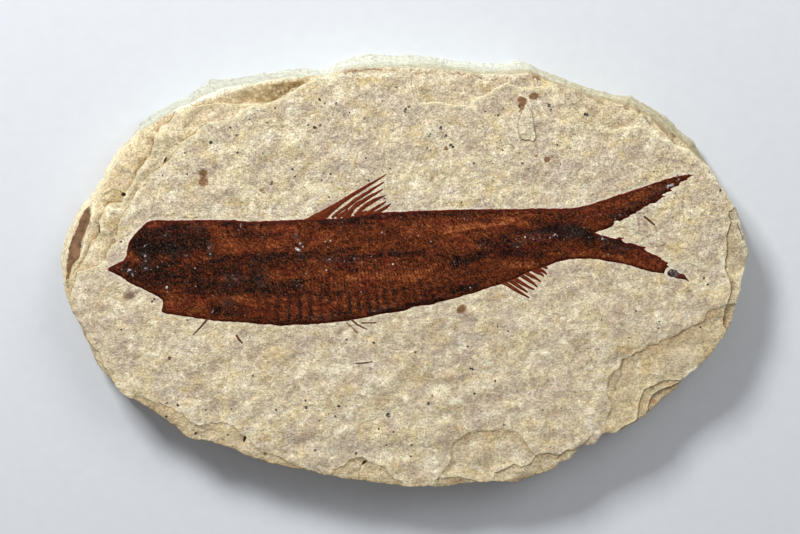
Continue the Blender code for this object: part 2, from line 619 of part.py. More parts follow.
def build_fish(finish):
    fish = plate("fossil_fish", fish_outline(), FISH_GRID, FACE_HEIGHT - FISH_SINK, fish_top, finish)
    fins = DORSAL_RAYS + ANAL_RAYS + [PECTORAL_RAY, PELVIC_RAY]
    rays = build_rays("fin_rays", fins, RAY_WIDTHS, finish)
    rays.hide_render = True
    rays.display_type = "WIRE"
    join = fish.modifiers.new("fins", "BOOLEAN")
    join.operation = "UNION"
    join.solver = "EXACT"
    join.use_self = True
    join.object = rays
    return fish


def tip_top(points):
    away = distance_to(points, TAIL_TIP, True)
    return FACE_HEIGHT + RAY_TOP + TIP_CROWN * np.clip(away, 0, 1)


def build():
    clear_scene()
    stone = material("limestone", LIMESTONE, 0.85)
    fish = material("fossil_fish", FISH_BROWN, 0.45)
    tip = material("tail_tip", TIP_BROWN, 0.5)
    ray = material("loose_ray", RAY_BROWN, 0.5)
    build_slab(stone)
    build_fish(fish)
    plate("lower_tail_tip", counter_clockwise(TAIL_TIP), TIP_GRID, FACE_HEIGHT + RAY_BOTTOM, tip_top, tip)
    build_rays("loose_fin_ray", [LOOSE_RAY], SPLINTER_WIDTHS, ray)
    build_rays("rib_splinter", [RIB_SPLINTER], SPLINTER_WIDTHS, ray)
    build_rays("bone_needle", [NEEDLE], SPLINTER_WIDTHS, ray)


build()
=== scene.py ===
"""The finish of a fossil fish on an oval slab of bedded limestone.

Outlines are drawn in millimetres from the middle of the slab's face: x to the fish's tail, y to its back.
The slab lies on its flat back, and the camera looks down on it.
"""

import math

import bmesh
import bpy
import numpy as np
from mathutils import Matrix, Vector, noise
from mathutils.geometry import delaunay_2d_cdt


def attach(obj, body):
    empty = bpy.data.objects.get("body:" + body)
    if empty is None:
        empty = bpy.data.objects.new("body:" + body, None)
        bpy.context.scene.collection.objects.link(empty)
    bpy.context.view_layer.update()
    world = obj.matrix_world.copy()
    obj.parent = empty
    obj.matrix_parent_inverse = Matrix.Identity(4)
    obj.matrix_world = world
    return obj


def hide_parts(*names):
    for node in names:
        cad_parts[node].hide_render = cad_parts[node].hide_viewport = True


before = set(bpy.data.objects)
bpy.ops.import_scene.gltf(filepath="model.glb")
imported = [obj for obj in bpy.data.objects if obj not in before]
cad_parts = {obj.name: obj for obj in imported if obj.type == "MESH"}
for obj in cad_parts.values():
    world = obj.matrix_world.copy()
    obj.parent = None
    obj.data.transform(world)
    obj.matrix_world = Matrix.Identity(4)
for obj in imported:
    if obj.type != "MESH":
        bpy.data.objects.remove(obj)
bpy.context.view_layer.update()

# Vector noise starts from a random place unless its seed is set
noise.seed_set(5)

MM = 0.001
FACE_HEIGHT = 12.0          # the face above the flat back
FACE_MIDDLE = (0.0, 1.8)    # the drawing's origin, from the middle of the slab's box

# The camera: its tilt from straight above, towards the fish's back, and its place over the drawing
CAMERA_TILT = 7.0
CAMERA_DISTANCE = 436.0
CAMERA_LENS = 90.0
SENSOR_WIDTH = 36.0
IMAGE_SIZE = (800, 534)
FACE_MIDDLE_PIXEL = (404.5, 270.0)
# How much larger the tilted view shows what lies a millimetre nearer to the fish's back
VIEW_GROWTH = math.sin(math.radians(CAMERA_TILT)) / CAMERA_DISTANCE

# The slab's broken side
OUTLINE_GROWTH = 1.02       # the widest outline, against how it is seen at the face
OUTLINE_DROP = -1.04        # and how far towards the belly it moves
OVAL = 1.6                  # about how much longer the slab is than wide
WIDEST_SHARE = 0.72         # the widest place's share of the way down from the rim
BACK_INSET = 1.1            # how far the back's edge lies within the widest place
SIDE_LEAST = 0.4            # the least that the widest place stands out past the rim
SIDE_LEVELS = 27
SIDE_GRAIN = 0.14           # the relief of the broken stone's grain
BEDS = (0.0, 1.3, 2.2, 3.6, 4.3, 5.7, 6.5, 7.9, 8.8, 10.2, 11.0)    # the beds' edges, above the back
BED_RELIEF = 0.8            # how far beds stand back behind each other
BED_SWING = 9.0             # and over what length they swing in and out
BED_WAVE = 0.5              # how far a bed rises and sinks
BED_WAVE_LENGTH = 25.0
CHIP_RELIEF = 0.28
CHIP_SIZE = 2.2

# The face
GRAIN_LEAN = 25.0           # the direction of the stone's swells and streaks, in degrees
# How far round the fish large and small swells are flat, and how much further off they reach full rise
LARGE_FLAT, LARGE_REACH = 1.5, 5.0
SMALL_FLAT, SMALL_REACH = 0.3, 1.2
LARGE_SWELL = 3.0           # swells wider than this are large
# Swells of the face: size, rise, seed and how much longer they are along the lean
SWELLS = (
    (11, 0.3, 3.7, 1.4), (5.5, 0.4, 9.1, 1.4), (3.2, 0.34, 21.5, 1.25), (1.6, 0.19, 31.5, 1.05),
    (0.9, 0.1, 41.5, 1.0),
)
# Rougher swells of the ledges' lower grounds: size, rise and seed
GROUND_SWELLS = ((4.2, 0.5, 71.5), (2.1, 0.34, 81.5), (1.1, 0.16, 91.5))
GROUND_STRETCH = 1.5
GROUND_LEAN = 50.0
RIM_WEAR = 0.5              # how much lower the worn rim is
RIM_WEAR_REACH = 0.9
# The lower half's share of the rim's wear and of the rough ground, and the stretches where it changes
LOWER_SHARE = 0.4
WEAR_Y = (-12, 8)
GROUND_Y = (-8, 0)
LEDGE_RUN = 0.24            # the width of a ledge's slope
# Widths of the dark line of painted shadow and of the soft painted shade, partly brown stain, at a ledge's
# foot, and of the pale line of painted highlight along its lip
FOOT_LINE = 0.26
FOOT_SHADE = 0.9
LIP_LINE = 0.5
# Half the width of a groove, and the widths of the dark line and the stain along it
GROOVE_RUN = 0.4
GROOVE_LINE = 0.24
GROOVE_STAIN = 0.35
FLAKE_HEIGHT = 0.34
FLAKE_RUN = 0.22
# The dark line round the flake, partly its darker border and partly painted shadow, heavier to the right,
# away from the light
FLAKE_LINE_PLACE = 0.14
FLAKE_LINE_WIDTH = 0.2
FLAKE_LINE_X = (25.5, 27.5)
FLAKE_LINE_STRENGTH = (0.95, 1.25)
FACET_SOFT = 0.45           # the width of the left facet's soft edge
# The grains of crystal in the upper left hollow
CRYSTAL_MIDDLE = -28
CRYSTAL_REACH = 8
CRYSTAL_SIZE = 1.0
CRYSTAL_RISE = 0.28
CUT_LINE = 0.36             # the width of the pale line cut round the fish
# The lowered stone under the fish, within its outline, and the mesh's lines on both sides of its step
POCKET_INSET = 0.5
POCKET_DEPTH = 0.5
POCKET_LINES = (0.45, 0.55)

# The fish's surface, its fin rays and the bits that broke away from it
FISH_SINK = 0.25            # its underside below the face
FISH_LIFT = 0.03            # its edge above the face
FISH_EDGE = 0.2             # the steep rise along its edge
FISH_EDGE_RUN = 0.18
FISH_CROWN = 0.48           # the slow rise to its middle
CROWN_REACH = 3.2
BACKBONE_X = (-58, -20, 10, 30, 41)
BACKBONE_Y = (0.5, 1.5, 4.0, 7.0, 8.2)
BACKBONE_FROM, BACKBONE_TO = -44, 43
BACKBONE_FADE = 6           # the length over which the ridge fades at both ends
BACKBONE_RISE = 0.13
BACKBONE_WIDTH = 1.1
GILL_X = -41.2              # the gill cover's hind edge
GILL_BEND = 0.03
GILL_RISE = 0.14
BAR_RISE = 0.05             # the bars along the belly
# Fine swells of the flank: size, rise, seed and how much longer they are along the fish
FLANK_SWELLS = ((2.2, 0.09, 5.5, 2.0), (0.9, 0.06, 6.5, 1.6))
FLANK_LEAN = 6
# Corners between these places along the fish are cut by this share, and by at most this far
ROUNDED_FROM, ROUNDED_TO = -64.0, 40.0
CORNER_SHARE = 0.28
CORNER_REACH = 0.8
RAY_HEIGHT = 0.14
WEB_HEIGHT = 0.7 * RAY_HEIGHT
THREAD_HEIGHT = 0.6 * RAY_HEIGHT
LOOSE_RAY_HEIGHT = 0.24
SPLINTER_HEIGHT = 0.22
NEEDLE_HEIGHT = 0.2
RAY_SINK = -0.2             # a ray's underside, as a share of its rise
RAY_TAPER = 0.35            # how much lower a ray is at its tip
TIP_SINK = 0.1
TIP_LIFT = 0.05
TIP_CROWN = 0.3
TIP_RUN = 0.3
TIP_SWELL = 0.08

# Mesh sizes
FACE_GRID = 0.52
LINE_STEP = 0.34
POCKET_STEP = 0.6
FISH_GRID = 0.36
FISH_STEP = 0.3
TIP_GRID = 0.24
TIP_STEP = 0.22
RAY_STEP = 0.35

# The floor, and the lights: place, size and strength
FLOOR_SIZE = 2.0
KEY_LIGHT = ((-0.3, 0.5, 0.42), (0.2, 0.16), 5.5)
FILL_LIGHT = ((0.45, 0.42, 0.6), (0.5, 0.4), 2.0)
FLOOR_SHADES = ((0.66, 0.69, 0.73, 1), (0.68, 0.71, 0.75, 1))
WORLD_COLOUR = (0.98, 0.98, 1.0, 1)
WORLD_STRENGTH = 0.26

# The widest outline as seen, at the face's height
OUTLINE = [
    (-75.1, 1), (-75.1, 3), (-74.8, 5), (-73.9, 7.4), (-73.3, 9.1), (-72.4, 10.6), (-70.9, 13.3),
    (-69.2, 15), (-67.3, 17.5), (-65.7, 20.1), (-64.4, 22.8), (-62.6, 25.8), (-61.2, 26.9), (-59.9, 28.2),
    (-58.2, 30), (-56.9, 32), (-54.9, 33.4), (-53.6, 34.4), (-50, 36.2), (-47, 37.8), (-45, 39.1),
    (-43.2, 40.3), (-41.9, 41.7), (-40.7, 41.5), (-37, 41.9), (-33, 42.5), (-27, 43.1), (-21.8, 43.9),
    (-18.3, 43.5), (-16.7, 43.6), (-15.3, 44.3), (-14.4, 45.3), (-12.3, 45.7), (-11, 46.3), (-10, 46.8),
    (-5, 46.7), (0, 46.7), (3.5, 46.4), (7.5, 46), (13, 45.2), (18.3, 44.7), (20, 44.8), (22.3, 45.1),
    (24, 45.5), (26, 45.2), (27.5, 44.9), (28.8, 44.1), (31, 43), (33.5, 41.9), (38, 40.2), (42.5, 38.8),
    (45, 38.3), (47, 38.1), (48.9, 38.1), (51.2, 36.5), (54.6, 34.8), (56, 33.7), (58.1, 31.9),
    (59.5, 30.3), (62.5, 28.2), (63.7, 26.4), (65.8, 22.8), (66.5, 21.5), (68.3, 18.9), (69.7, 17.1),
    (70.7, 15.5), (71.6, 14.5), (72.5, 12.5), (73.3, 10), (74.8, 5.3), (75, 3.2), (74.3, 0), (73.6, -2.5),
    (72.7, -7.5), (72.1, -10), (71.1, -12.5), (69.3, -15), (68.3, -17.2), (67.5, -18.3), (65, -20.6),
    (63.8, -22), (61, -24.7), (60, -26), (57.3, -28.6), (55.5, -30), (53, -32.3), (50, -34.1), (47, -35.9),
    (45.5, -36.2), (44.3, -36.2), (43.5, -36.7), (42, -38.5), (40.5, -38.9), (39, -38.8), (37.5, -40.6),
    (36.5, -41.9), (34.3, -42.9), (33.5, -43.8), (31.5, -44.9), (28, -46.1), (25.3, -47), (22, -47.2),
    (16.5, -47.1), (11, -47.8), (8, -48.2), (2, -48.3), (-3, -47.9), (-8, -47), (-13, -46.6), (-18, -45.4),
    (-20, -44.7), (-24.5, -44.2), (-30, -42.9), (-34, -41.5), (-37, -40.1), (-40, -38.8), (-42, -38.2),
    (-46, -37.5), (-47.7, -37.1), (-49, -36.2), (-50, -35), (-53, -32.8), (-55.5, -31), (-57.2, -29.8),
    (-61, -28), (-62, -27.2), (-63.3, -26), (-65.2, -23.3), (-67.3, -20.6), (-68.8, -17.6), (-70.1, -14.7),
    (-70.6, -13), (-72.4, -9.4), (-73.3, -7.3), (-74, -5), (-74.6, -2.6),
]

# The rim, where the face ends and the broken side begins: it stands back from the outline over the top only
UPPER_RIM = [
    (-74.3, 1), (-74, 3), (-73.6, 5), (-72.8, 7.4), (-71.9, 9.4), (-70.5, 12), (-68.5, 14.6), (-65.7, 18.6),
    (-63.9, 22), (-61.4, 26), (-59, 28.7), (-57, 30.9), (-55, 32), (-52, 33.8), (-50, 35), (-46, 36.8),
    (-44.5, 37.8), (-40, 39.1), (-37, 40.2), (-34, 40.8), (-30, 41.6), (-25, 42.1), (-20, 42.5),
    (-17, 42.8), (-15, 43.3), (-12.9, 43.9), (-10, 44.2), (-5, 44.4), (0, 44.3), (5, 44.2), (10, 43.8),
    (15, 43.2), (19, 42.7), (23, 42.7), (27, 43), (30, 42.1), (33.5, 40.4), (38, 39), (42, 37.6),
    (46, 36.8), (50, 35.4), (53, 33.7), (56, 31.4), (60.5, 28.2), (63, 26.2), (64.8, 23.9),
]
LOWER_RIM = OUTLINE[OUTLINE.index((65.8, 22.8)):]

# Ledges: the upper edge of each, then points outside the slab that close its lower ground. The ground
# starts `drop` below and sinks by `slope` a millimetre, down to `most` further. `dark` and `pale` are the
# strengths of the painted shadow along its foot and the painted highlight along its lip, `warm` of its
# ground's tint.
LEDGES = [
    dict(drop=0.65, slope=0.06, most=1.0, dark=0.7, pale=0.8, warm=0.55, edge=[
        (-19, 44), (-20, 41.6), (-21, 41), (-23.5, 39.7), (-25, 38.6), (-26.5, 37.6), (-28, 37),
        (-30, 36.3), (-33, 35.6), (-34.7, 35.1), (-36, 33.8), (-38, 33), (-40, 32.6), (-42.5, 32),
        (-45.3, 30.6), (-46, 29.5), (-48.5, 28), (-50, 25.5), (-51, 24.3), (-53, 22.8), (-55, 21),
        (-55.5, 19.3), (-57, 18), (-58.3, 16.5), (-59, 15.3), (-60, 13.7), (-61.7, 11), (-62.3, 8.5),
        (-63, 6), (-64.3, 3.8), (-65.3, 2.2), (-67.4, 0.6), (-69.6, -0.1), (-71.3, -0.9), (-72.3, -3),
        (-72.9, -6), (-75, -9)],
        around=[(-90, -9), (-90, 60), (-19, 60)]),
    dict(drop=0.75, slope=0.1, most=1.2, dark=0.85, pale=0.7, warm=0.2, edge=[
        (-48.5, 38), (-49.3, 35.8), (-50.5, 33.6), (-52.6, 31.5), (-54.2, 29.3), (-54.6, 27), (-55.4, 25),
        (-58, 21.4), (-58.8, 19.5), (-60, 17.8), (-61.7, 14.6), (-64.5, 14.2), (-65.8, 12.4), (-66.7, 10.6),
        (-66.6, 8), (-69.2, 4.2), (-70.3, 1.2), (-72, -0.8), (-75, -4)],
        around=[(-90, -4), (-90, 60), (-48.5, 60)]),
    dict(drop=1.1, slope=0.1, most=0.4, dark=0.8, pale=0.7, warm=0.0, edge=[
        (-69.6, 17.5), (-68.6, 15), (-68.3, 12), (-68.8, 10), (-69.8, 7.5), (-70.3, 5.5), (-70.6, 3.5),
        (-71.2, 2), (-72.4, 0.8), (-73.4, -3), (-75, -5)],
        around=[(-90, -5), (-90, 17.5)]),
    dict(drop=0.2, slope=0.05, most=0.3, dark=0.08, pale=0.4, warm=0.0, edge=[
        (-66, 21), (-66, 16.5), (-64.5, 17.6), (-62.5, 17.4), (-61, 16.4), (-61.5, 15), (-62, 13.2),
        (-63.5, 13.4), (-65, 14.3), (-67, 13), (-70, 14)],
        around=[(-90, 14), (-90, 21)]),
    dict(drop=1.0, slope=-0.24, most=1.0, dark=0.5, pale=0.5, warm=0.6, edge=[
        (-48, 37.5), (-46, 35.6), (-43, 36.3), (-40, 36.5), (-36, 36.2), (-32, 36.4), (-30.2, 36.2),
        (-27.8, 36.9), (-26.4, 38.2), (-25.2, 38.9), (-23.6, 39.9), (-22, 40.4), (-20.3, 41.8), (-19.5, 44)],
        around=[(-19.5, 60), (-48, 60)]),
    dict(drop=0.3, slope=0.02, most=0.2, dark=0.0, pale=0.8, warm=0.25, edge=[
        (0.8, 46), (1.6, 40), (2.2, 37.4), (3.4, 36.2), (5.6, 36.8), (7.5, 36.6), (10.6, 35.9),
        (14.2, 35.9), (15.1, 36.8), (16.5, 38.1), (18.4, 39), (20.6, 39.7), (22.2, 40.8), (23.9, 40.7),
        (25.4, 39.8), (27.2, 39.6), (29.5, 40.3), (31, 40), (34.5, 43)],
        around=[(34.5, 60), (0.8, 60)]),
    dict(drop=0.35, slope=0.02, most=0.2, dark=0.3, pale=0.6, warm=0.35, edge=[
        (35.5, 44), (37.2, 38.9), (39.8, 35.2), (41, 33.3), (43.5, 31), (45.5, 30.5), (48.5, 31.1),
        (50.5, 31.5), (53.2, 30.4), (55.4, 28.8), (57.5, 28), (62, 26.4), (67, 22.5)],
        around=[(90, 22.5), (90, 60), (35.5, 60)]),
    dict(drop=0.4, slope=0.1, most=0.4, dark=0.6, pale=0.5, warm=0.3, edge=[
        (53, 38), (54, 33), (55, 31.8), (57.7, 28.6), (59, 27.4), (61.8, 26.6), (63.5, 25), (64.5, 24.2),
        (68, 22)],
        around=[(90, 22), (90, 60), (53, 60)]),
    dict(drop=0.4, slope=0.12, most=0.6, dark=0.7, pale=0.5, warm=0.5, edge=[
        (74, 13.6), (71.6, 13.5), (70.5, 13), (70.6, 11.5), (71, 9.9), (70.4, 8), (70.2, 6), (70.1, 3),
        (70, 0.5), (70.7, -1.3), (71.2, -4.8), (70.2, -7), (69.9, -8.5), (69.5, -10), (69.6, -12),
        (72, -16)],
        around=[(90, -16), (90, 13.6)]),
    dict(drop=0.18, slope=0.01, most=0.2, dark=0.65, pale=0.4, warm=0.75, edge=[
        (76, -6.6), (71, -7.4), (69.5, -7.8), (67.5, -8.4), (66, -9.2), (64.9, -10.9), (63, -12), (61, -13),
        (59, -14.2), (57, -15), (55, -16), (53, -16.8), (50.5, -18), (49, -18.6), (47.5, -19.7),
        (46.5, -21.3), (45, -22.5), (44.4, -24), (44.1, -26), (44.2, -27.5), (44.8, -29), (44.7, -30.5),
        (43.9, -32), (44, -35), (44.4, -38)],
        around=[(44.4, -60), (90, -60), (90, -6.6)]),
    dict(drop=0.22, slope=0.04, most=0.3, dark=0.8, pale=0.7, warm=0.3, edge=[
        (64, -22.8), (61.8, -23.2), (60.3, -23.9), (57.5, -24.2), (55, -25), (53.4, -25.6), (52.3, -26.6),
        (51.4, -28), (50.9, -30), (50.6, -31.6), (50.1, -33), (47, -34.6), (45.6, -38)],
        around=[(45.6, -60), (90, -60), (90, -22.8)]),
    dict(drop=0.3, slope=0.1, most=0.4, dark=0.9, pale=0.5, warm=0.3, edge=[
        (63, -24.3), (59.5, -25), (57, -26), (55.4, -26.6), (54.3, -27.5), (53.4, -28.8), (53, -30.4),
        (52.8, -35)],
        around=[(52.8, -60), (90, -60), (90, -24.3)]),
    dict(drop=0.15, slope=0.005, most=0.1, dark=0.65, pale=0.4, warm=0.3, edge=[
        (6.6, -50), (7.1, -46.2), (7.7, -44.6), (8.8, -43.2), (10.2, -41.3), (10.3, -39.5), (10.6, -37.8),
        (11.6, -36.8), (12.9, -36.1), (14.6, -35.5), (16.5, -35.2), (19.2, -35.5), (21.4, -35),
        (23.2, -35.1), (24.9, -35.9), (26.4, -37.4), (27.4, -38.6), (28.4, -39.8), (29.3, -41), (30.6, -44),
        (31, -48)],
        around=[(31, -60), (6.6, -60)]),
    dict(drop=0.22, slope=0.05, most=0.4, dark=0.6, pale=0.4, warm=0.4, edge=[
        (19, -49), (19.9, -44.8), (21, -44.2), (22.4, -43.4), (23.9, -42.6), (25.4, -43.1), (26.6, -43),
        (27.9, -42), (28.6, -40.6), (30.2, -40.2), (33.7, -40.4), (36.9, -39.3), (39.2, -38.4), (41, -36)],
        around=[(60, -60), (19, -60)]),
    dict(drop=0.2, slope=0.05, most=0.3, dark=0.45, pale=0.4, warm=0.7, edge=[
        (-17.5, -48), (-15.5, -43.9), (-13.4, -42.8), (-11.4, -41.7), (-9.7, -41), (-8.3, -41.9),
        (-6.4, -42.6), (-4.3, -43.1), (-3.5, -44.2), (-2.4, -45.7), (-0.4, -46.6), (0.6, -51)],
        around=[(0.6, -60), (-17.5, -60)]),
    dict(drop=0.18, slope=0.1, most=0.3, dark=0.45, pale=0.5, warm=0.4, edge=[
        (5.4, -50), (6.4, -46.6), (7.4, -45.7), (9.4, -45.6), (12, -45.5), (14, -45.8), (15.8, -46.6),
        (16.6, -50)],
        around=[(16.6, -60), (5.4, -60)]),
    dict(drop=0.2, slope=0.03, most=0.3, dark=0.32, pale=0.4, warm=0.7, edge=[
        (-62, -31), (-59, -27.4), (-57, -28), (-53.2, -29.3), (-49.5, -31), (-48.4, -31.4), (-47.5, -33),
        (-45, -34.2), (-43, -34), (-41.4, -33.4), (-39.6, -33.3), (-37.2, -34.3), (-35.6, -35.8),
        (-34.6, -36.8), (-32.5, -38.7), (-30, -40.2), (-26.5, -41.4), (-22.1, -43.4), (-18, -44.6),
        (-16.6, -48)],
        around=[(-16.6, -60), (-62, -60)]),
    dict(drop=0.3, slope=0.08, most=0.5, dark=0.4, pale=0.4, warm=0.6, edge=[
        (-76.6, -10.5), (-72, -10.8), (-70.4, -11.8), (-68.9, -15), (-67.3, -17.5), (-65.9, -20),
        (-64.5, -22.4), (-62.4, -26), (-60.6, -30.5)],
        around=[(-60.6, -60), (-90, -60), (-90, -10.5)]),
]
HOLLOW = LEDGES[4]

# Small holes in the rim's ledges: place, size along and across, heading in degrees, depth
PITS = [
    (-61.4, 16.4, 0.7, 0.5, 0, 1.3), (-34.9, -37.3, 0.9, 0.35, 75, 1.2), (68.9, 17.4, 0.45, 0.22, 65, 0.5),
    (-8.8, -42.5, 0.8, 0.45, 40, 0.8), (-52.3, 24.1, 0.9, 0.28, 62, 0.8), (-66.6, 8.6, 0.9, 0.25, 88, 0.25),
]

# Cracks, partings and thin stains: how deep, how dark and how brown each is, and its line
GROOVES = [
    (0.12, 0.5, 0, [(1.2, 41.5), (1.6, 40.3), (2, 39.4)]),
    (0.2, 0.8, 0, [(37.2, 38.9), (39.8, 35.2), (41, 33.3)]),
    (0.2, 0.9, 0, [(51.9, 34.2), (52.8, 32.8), (53.8, 31.4)]),
    (0.1, 0.3, 0, [(43.5, 31), (45.5, 30.5), (48.5, 31.1)]),
    (0.15, 0.7, 0.4, [(68.6, 18), (69.2, 16.9), (70.2, 15.8), (71, 14.3)]),
    (0.15, 0.6, 0, [(70.4, 7.2), (69.7, 6.6), (68.9, 4.9), (68, 3)]),
    (0.25, 1.0, 0, [(72.8, 10.2), (73.4, 8.2), (73.9, 6.4)]),
    (0.2, 0.8, 0, [(71.5, -2.5), (71.8, -3.6), (71.7, -4.5)]),
    (0.15, 0.6, 0, [(46.3, -16.8), (48.6, -17.3), (51, -17)]),
    (0.15, 0.9, 0, [(47.5, -19.4), (47.1, -21.3), (47.3, -23), (46.3, -25.4), (45.5, -27.1), (44.9, -28.3)]),
    (0.12, 0.6, 0, [(51.3, -23.3), (51.5, -25.4), (50.5, -26.6), (50.2, -28), (50.6, -29)]),
    (0.15, 0.9, 0, [(69.2, -10.2), (67.1, -11.8), (66.7, -13), (67.4, -14.4), (67.9, -15.9)]),
    (0.15, 0.6, 0, [(65.5, -16.5), (65.7, -18.3), (67.5, -17.8)]),
    (0.12, 0.5, 0, [(-68.9, -15), (-66, -16), (-65, -17.5), (-64, -19)]),
    (0.15, 0.5, 0, [(-45.5, -34.9), (-43, -34.9), (-42, -35.2), (-41.2, -36.4)]),
    (0.12, 0.5, 0, [(-52, 23.5), (-51.6, 24), (-51.2, 24.4)]),
    (0.12, 0.4, 0, [(-59.5, 24.6), (-58.2, 23.1), (-58.4, 21.2)]),
    (0.12, 0.3, 0.3, [(4.5, -23.6), (6.4, -23), (8.8, -22.6), (10.6, -23.2), (12.2, -24.4)]),
    (0.15, 0, 0.6, [(-13, 43.4), (-10, 43.7), (-7.7, 43.9), (-5, 43.8)]),
    (0.15, 0, 0.5, [(-3.6, 43.9), (-1.4, 43.8)]),
    (0.2, 0.4, 0.45, [(-8.9, -42.4), (-9.6, -43.6), (-10, -45), (-10.1, -46.4)]),
    (0.12, 0.7, 0, [(-15.5, -43.7), (-13.4, -42.7), (-11.6, -41.8)]),
    (0.2, 0.2, 0.45, [(2, 43.3), (3.2, 42.9), (4, 43.4), (4.8, 43.1), (6, 43.2)]),
    (0.2, 0.2, 0.55, [(10, 43.3), (11, 42.7), (11.7, 43.2), (12.4, 42.6), (13.5, 43.2)]),
    (0.2, 0.2, 0.55, [(15, 42.8), (16.2, 42.6), (17, 41.9), (18.5, 41.7), (20.5, 42)]),
    (0.2, 0, 0.5, [(22.5, 42), (24.4, 42.2), (26, 41.8)]), (0.15, 0, 0.5, [(33.3, 40.2), (34.7, 39.6)]),
    (0.15, 0, 0.5, [(39.7, 38.3), (41.3, 37.6), (43.5, 36.5)]),
    (0.03, 0, 0.6, [(53.2, 5.9), (55, 5.4), (57.1, 5.6)]), (0.03, 0, 0.5, [(46.8, 9.6), (48.2, 9.2)]),
    (0.03, 0, 0.5, [(49.2, 8.7), (51.2, 8.8), (51.2, 10.4)]), (0.03, 0, 0.8, [(-47, 11.45), (-45.4, 11.6)]),
    (0.05, 0, 0.8, [(-12.6, -11.6), (-11.2, -12.6), (-10.2, -13.9)]),
]

# A thin drop-shaped flake that stands on the face
FLAKE = [
    (26.6, 36.2), (27.2, 35.3), (27.7, 34.2), (27.9, 32.6), (28.3, 30.6), (28.5, 28.9), (28, 28.3),
    (27.2, 28.8), (26.4, 28.6), (25.6, 28.9), (25.1, 30), (24.9, 31.4), (25.1, 32.8), (25.7, 34.4),
    (26.2, 35.5),
]

# Soft pale mounds of the lower face: place, size along and across, height
MOUNDS = [
    (9.7, -26.4, 2.4, 1.2, 0.22), (12, -28.3, 2.2, 0.8, 0.2), (-0.3, -27.6, 1.2, 1.4, 0.18),
    (45.4, -11.6, 1.9, 0.8, 0.14), (-17.3, 17.4, 2.2, 1.4, 0.12), (-2, 26.5, 1.8, 1.0, 0.1),
    (28, 12.8, 2.4, 0.7, 0.1), (4.5, -23.5, 1.6, 0.9, 0.12), (52, -34, 2.0, 1.0, 0.1),
]

# The fish's outline from the snout along the back, round the forked tail and back along the belly
FISH_OUTLINE = [
    (-64.7, 0), (-64.4, 0.6), (-62, 1.8), (-60.9, 2.4), (-60.5, 3.5), (-60.3, 4.7), (-60, 6.2),
    (-59.1, 7.6), (-57.9, 8.7), (-56.7, 9.8), (-55.8, 10.5), (-54.5, 10.9), (-52.8, 11), (-50.5, 10.8),
    (-46, 10.9), (-40, 11), (-37, 11), (-34.5, 10.6), (-31, 10.7), (-28, 10.9), (-21.8, 11.1), (-14, 11.3),
    (-10, 12), (-5, 12.6), (0, 12.85), (5, 13), (10, 13.2), (15, 13.3), (25, 13.35), (29, 13.6), (32, 13.5),
    (35, 13.4), (38, 13.7), (40, 14.2), (42, 15), (44, 15.6), (47, 16.6), (50, 17.6), (53, 18.6),
    (56, 19.7), (58.5, 20.4), (60.7, 20.7), (62.7, 20.7), (61.3, 20.1), (61.2, 19.7), (59.9, 19.3),
    (59.7, 19), (59.5, 18.5), (58.6, 18.2), (57.6, 17.7), (58.1, 17.3), (57, 17), (56.1, 16.7),
    (55.6, 16.3), (56.7, 16.1), (55.8, 15.8), (55.1, 15.3), (54.3, 14.6), (53.2, 14.5), (52.8, 14.1),
    (52, 13.8), (51.7, 13.5), (51.3, 13.2), (50.4, 12.8), (50.3, 12.4), (49.7, 12.3), (49, 12),
    (48.8, 11.7), (48.3, 11.4), (47.5, 11.1), (46.8, 10.6), (46.1, 10.9), (45.5, 10.7), (45.5, 10.1),
    (45.3, 9.6), (44.4, 9.3), (43.8, 9), (43.1, 8.8), (42.3, 8.6), (41.3, 8.2), (42.6, 7.7), (43.8, 7.4),
    (44.9, 7.1), (45.9, 6.9), (46.9, 7.2), (47.8, 7), (47.2, 6.7), (47.7, 6.2), (48.5, 5.9), (49.3, 6),
    (50.2, 5.7), (50.8, 5.4), (51.7, 5.2), (52.7, 5), (52.1, 4.6), (52.8, 4.1), (53.9, 3.6), (55.1, 3.1),
    (55.8, 2.8), (55.9, 2.4), (56.7, 2), (57.5, 1.5), (57.1, 1.1), (57.7, 0.6), (57, 0.4), (56.8, 0),
    (56.5, -0.8), (54, -0.4), (52.5, 0), (50, 0.8), (48, 1.4), (45, 1.8), (42, 2.3), (40, 2.5), (38, 2.5),
    (36, 2.3), (34, 2.1), (31.8, 1.2), (30.7, 0.7), (29, 0.1), (27.2, -0.4), (25.8, -1), (24.3, -1.9),
    (22.3, -2.7), (21, -3), (19, -3.7), (17, -4.4), (15, -5), (12.5, -5.8), (10.5, -6.3), (8.5, -6.9),
    (7, -7.1), (6.5, -7.6), (4.5, -7.8), (2.5, -7.9), (1.3, -8.4), (0, -8.9), (-2, -9.3), (-5, -9.6),
    (-8, -10.4), (-12.5, -11.2), (-18, -11.8), (-21, -12), (-25, -12.1), (-28, -12.4), (-28.5, -12),
    (-32, -11.9), (-35, -11.5), (-41, -11.3), (-43, -11), (-48, -10.2), (-50, -9.9), (-52.4, -9.6),
    (-53.2, -9.1), (-52.9, -8), (-52.8, -6.7), (-53.3, -6.2), (-55, -5.2), (-57, -4.2), (-59.3, -3.2),
    (-60.5, -2.4), (-62.5, -1.1),
]
# The smooth run of the fish's back and belly, without the fins' roots
FISH_BACK_X = (-64.7, -60, -55, -40, -14, 0, 20, 36, 44, 62.3)
FISH_BACK_Y = (0.3, 5.5, 10.3, 10.9, 11.3, 12.9, 13.3, 13.4, 15.6, 20.6)
FISH_BELLY_X = (-64.7, -57, -53, -52, -43, -25, -8, 7, 22, 36, 45, 57)
FISH_BELLY_Y = (-0.3, -4.2, -6.3, -9.7, -11, -12.1, -10.4, -7.1, -2.7, 2.3, 1.8, -0.9)

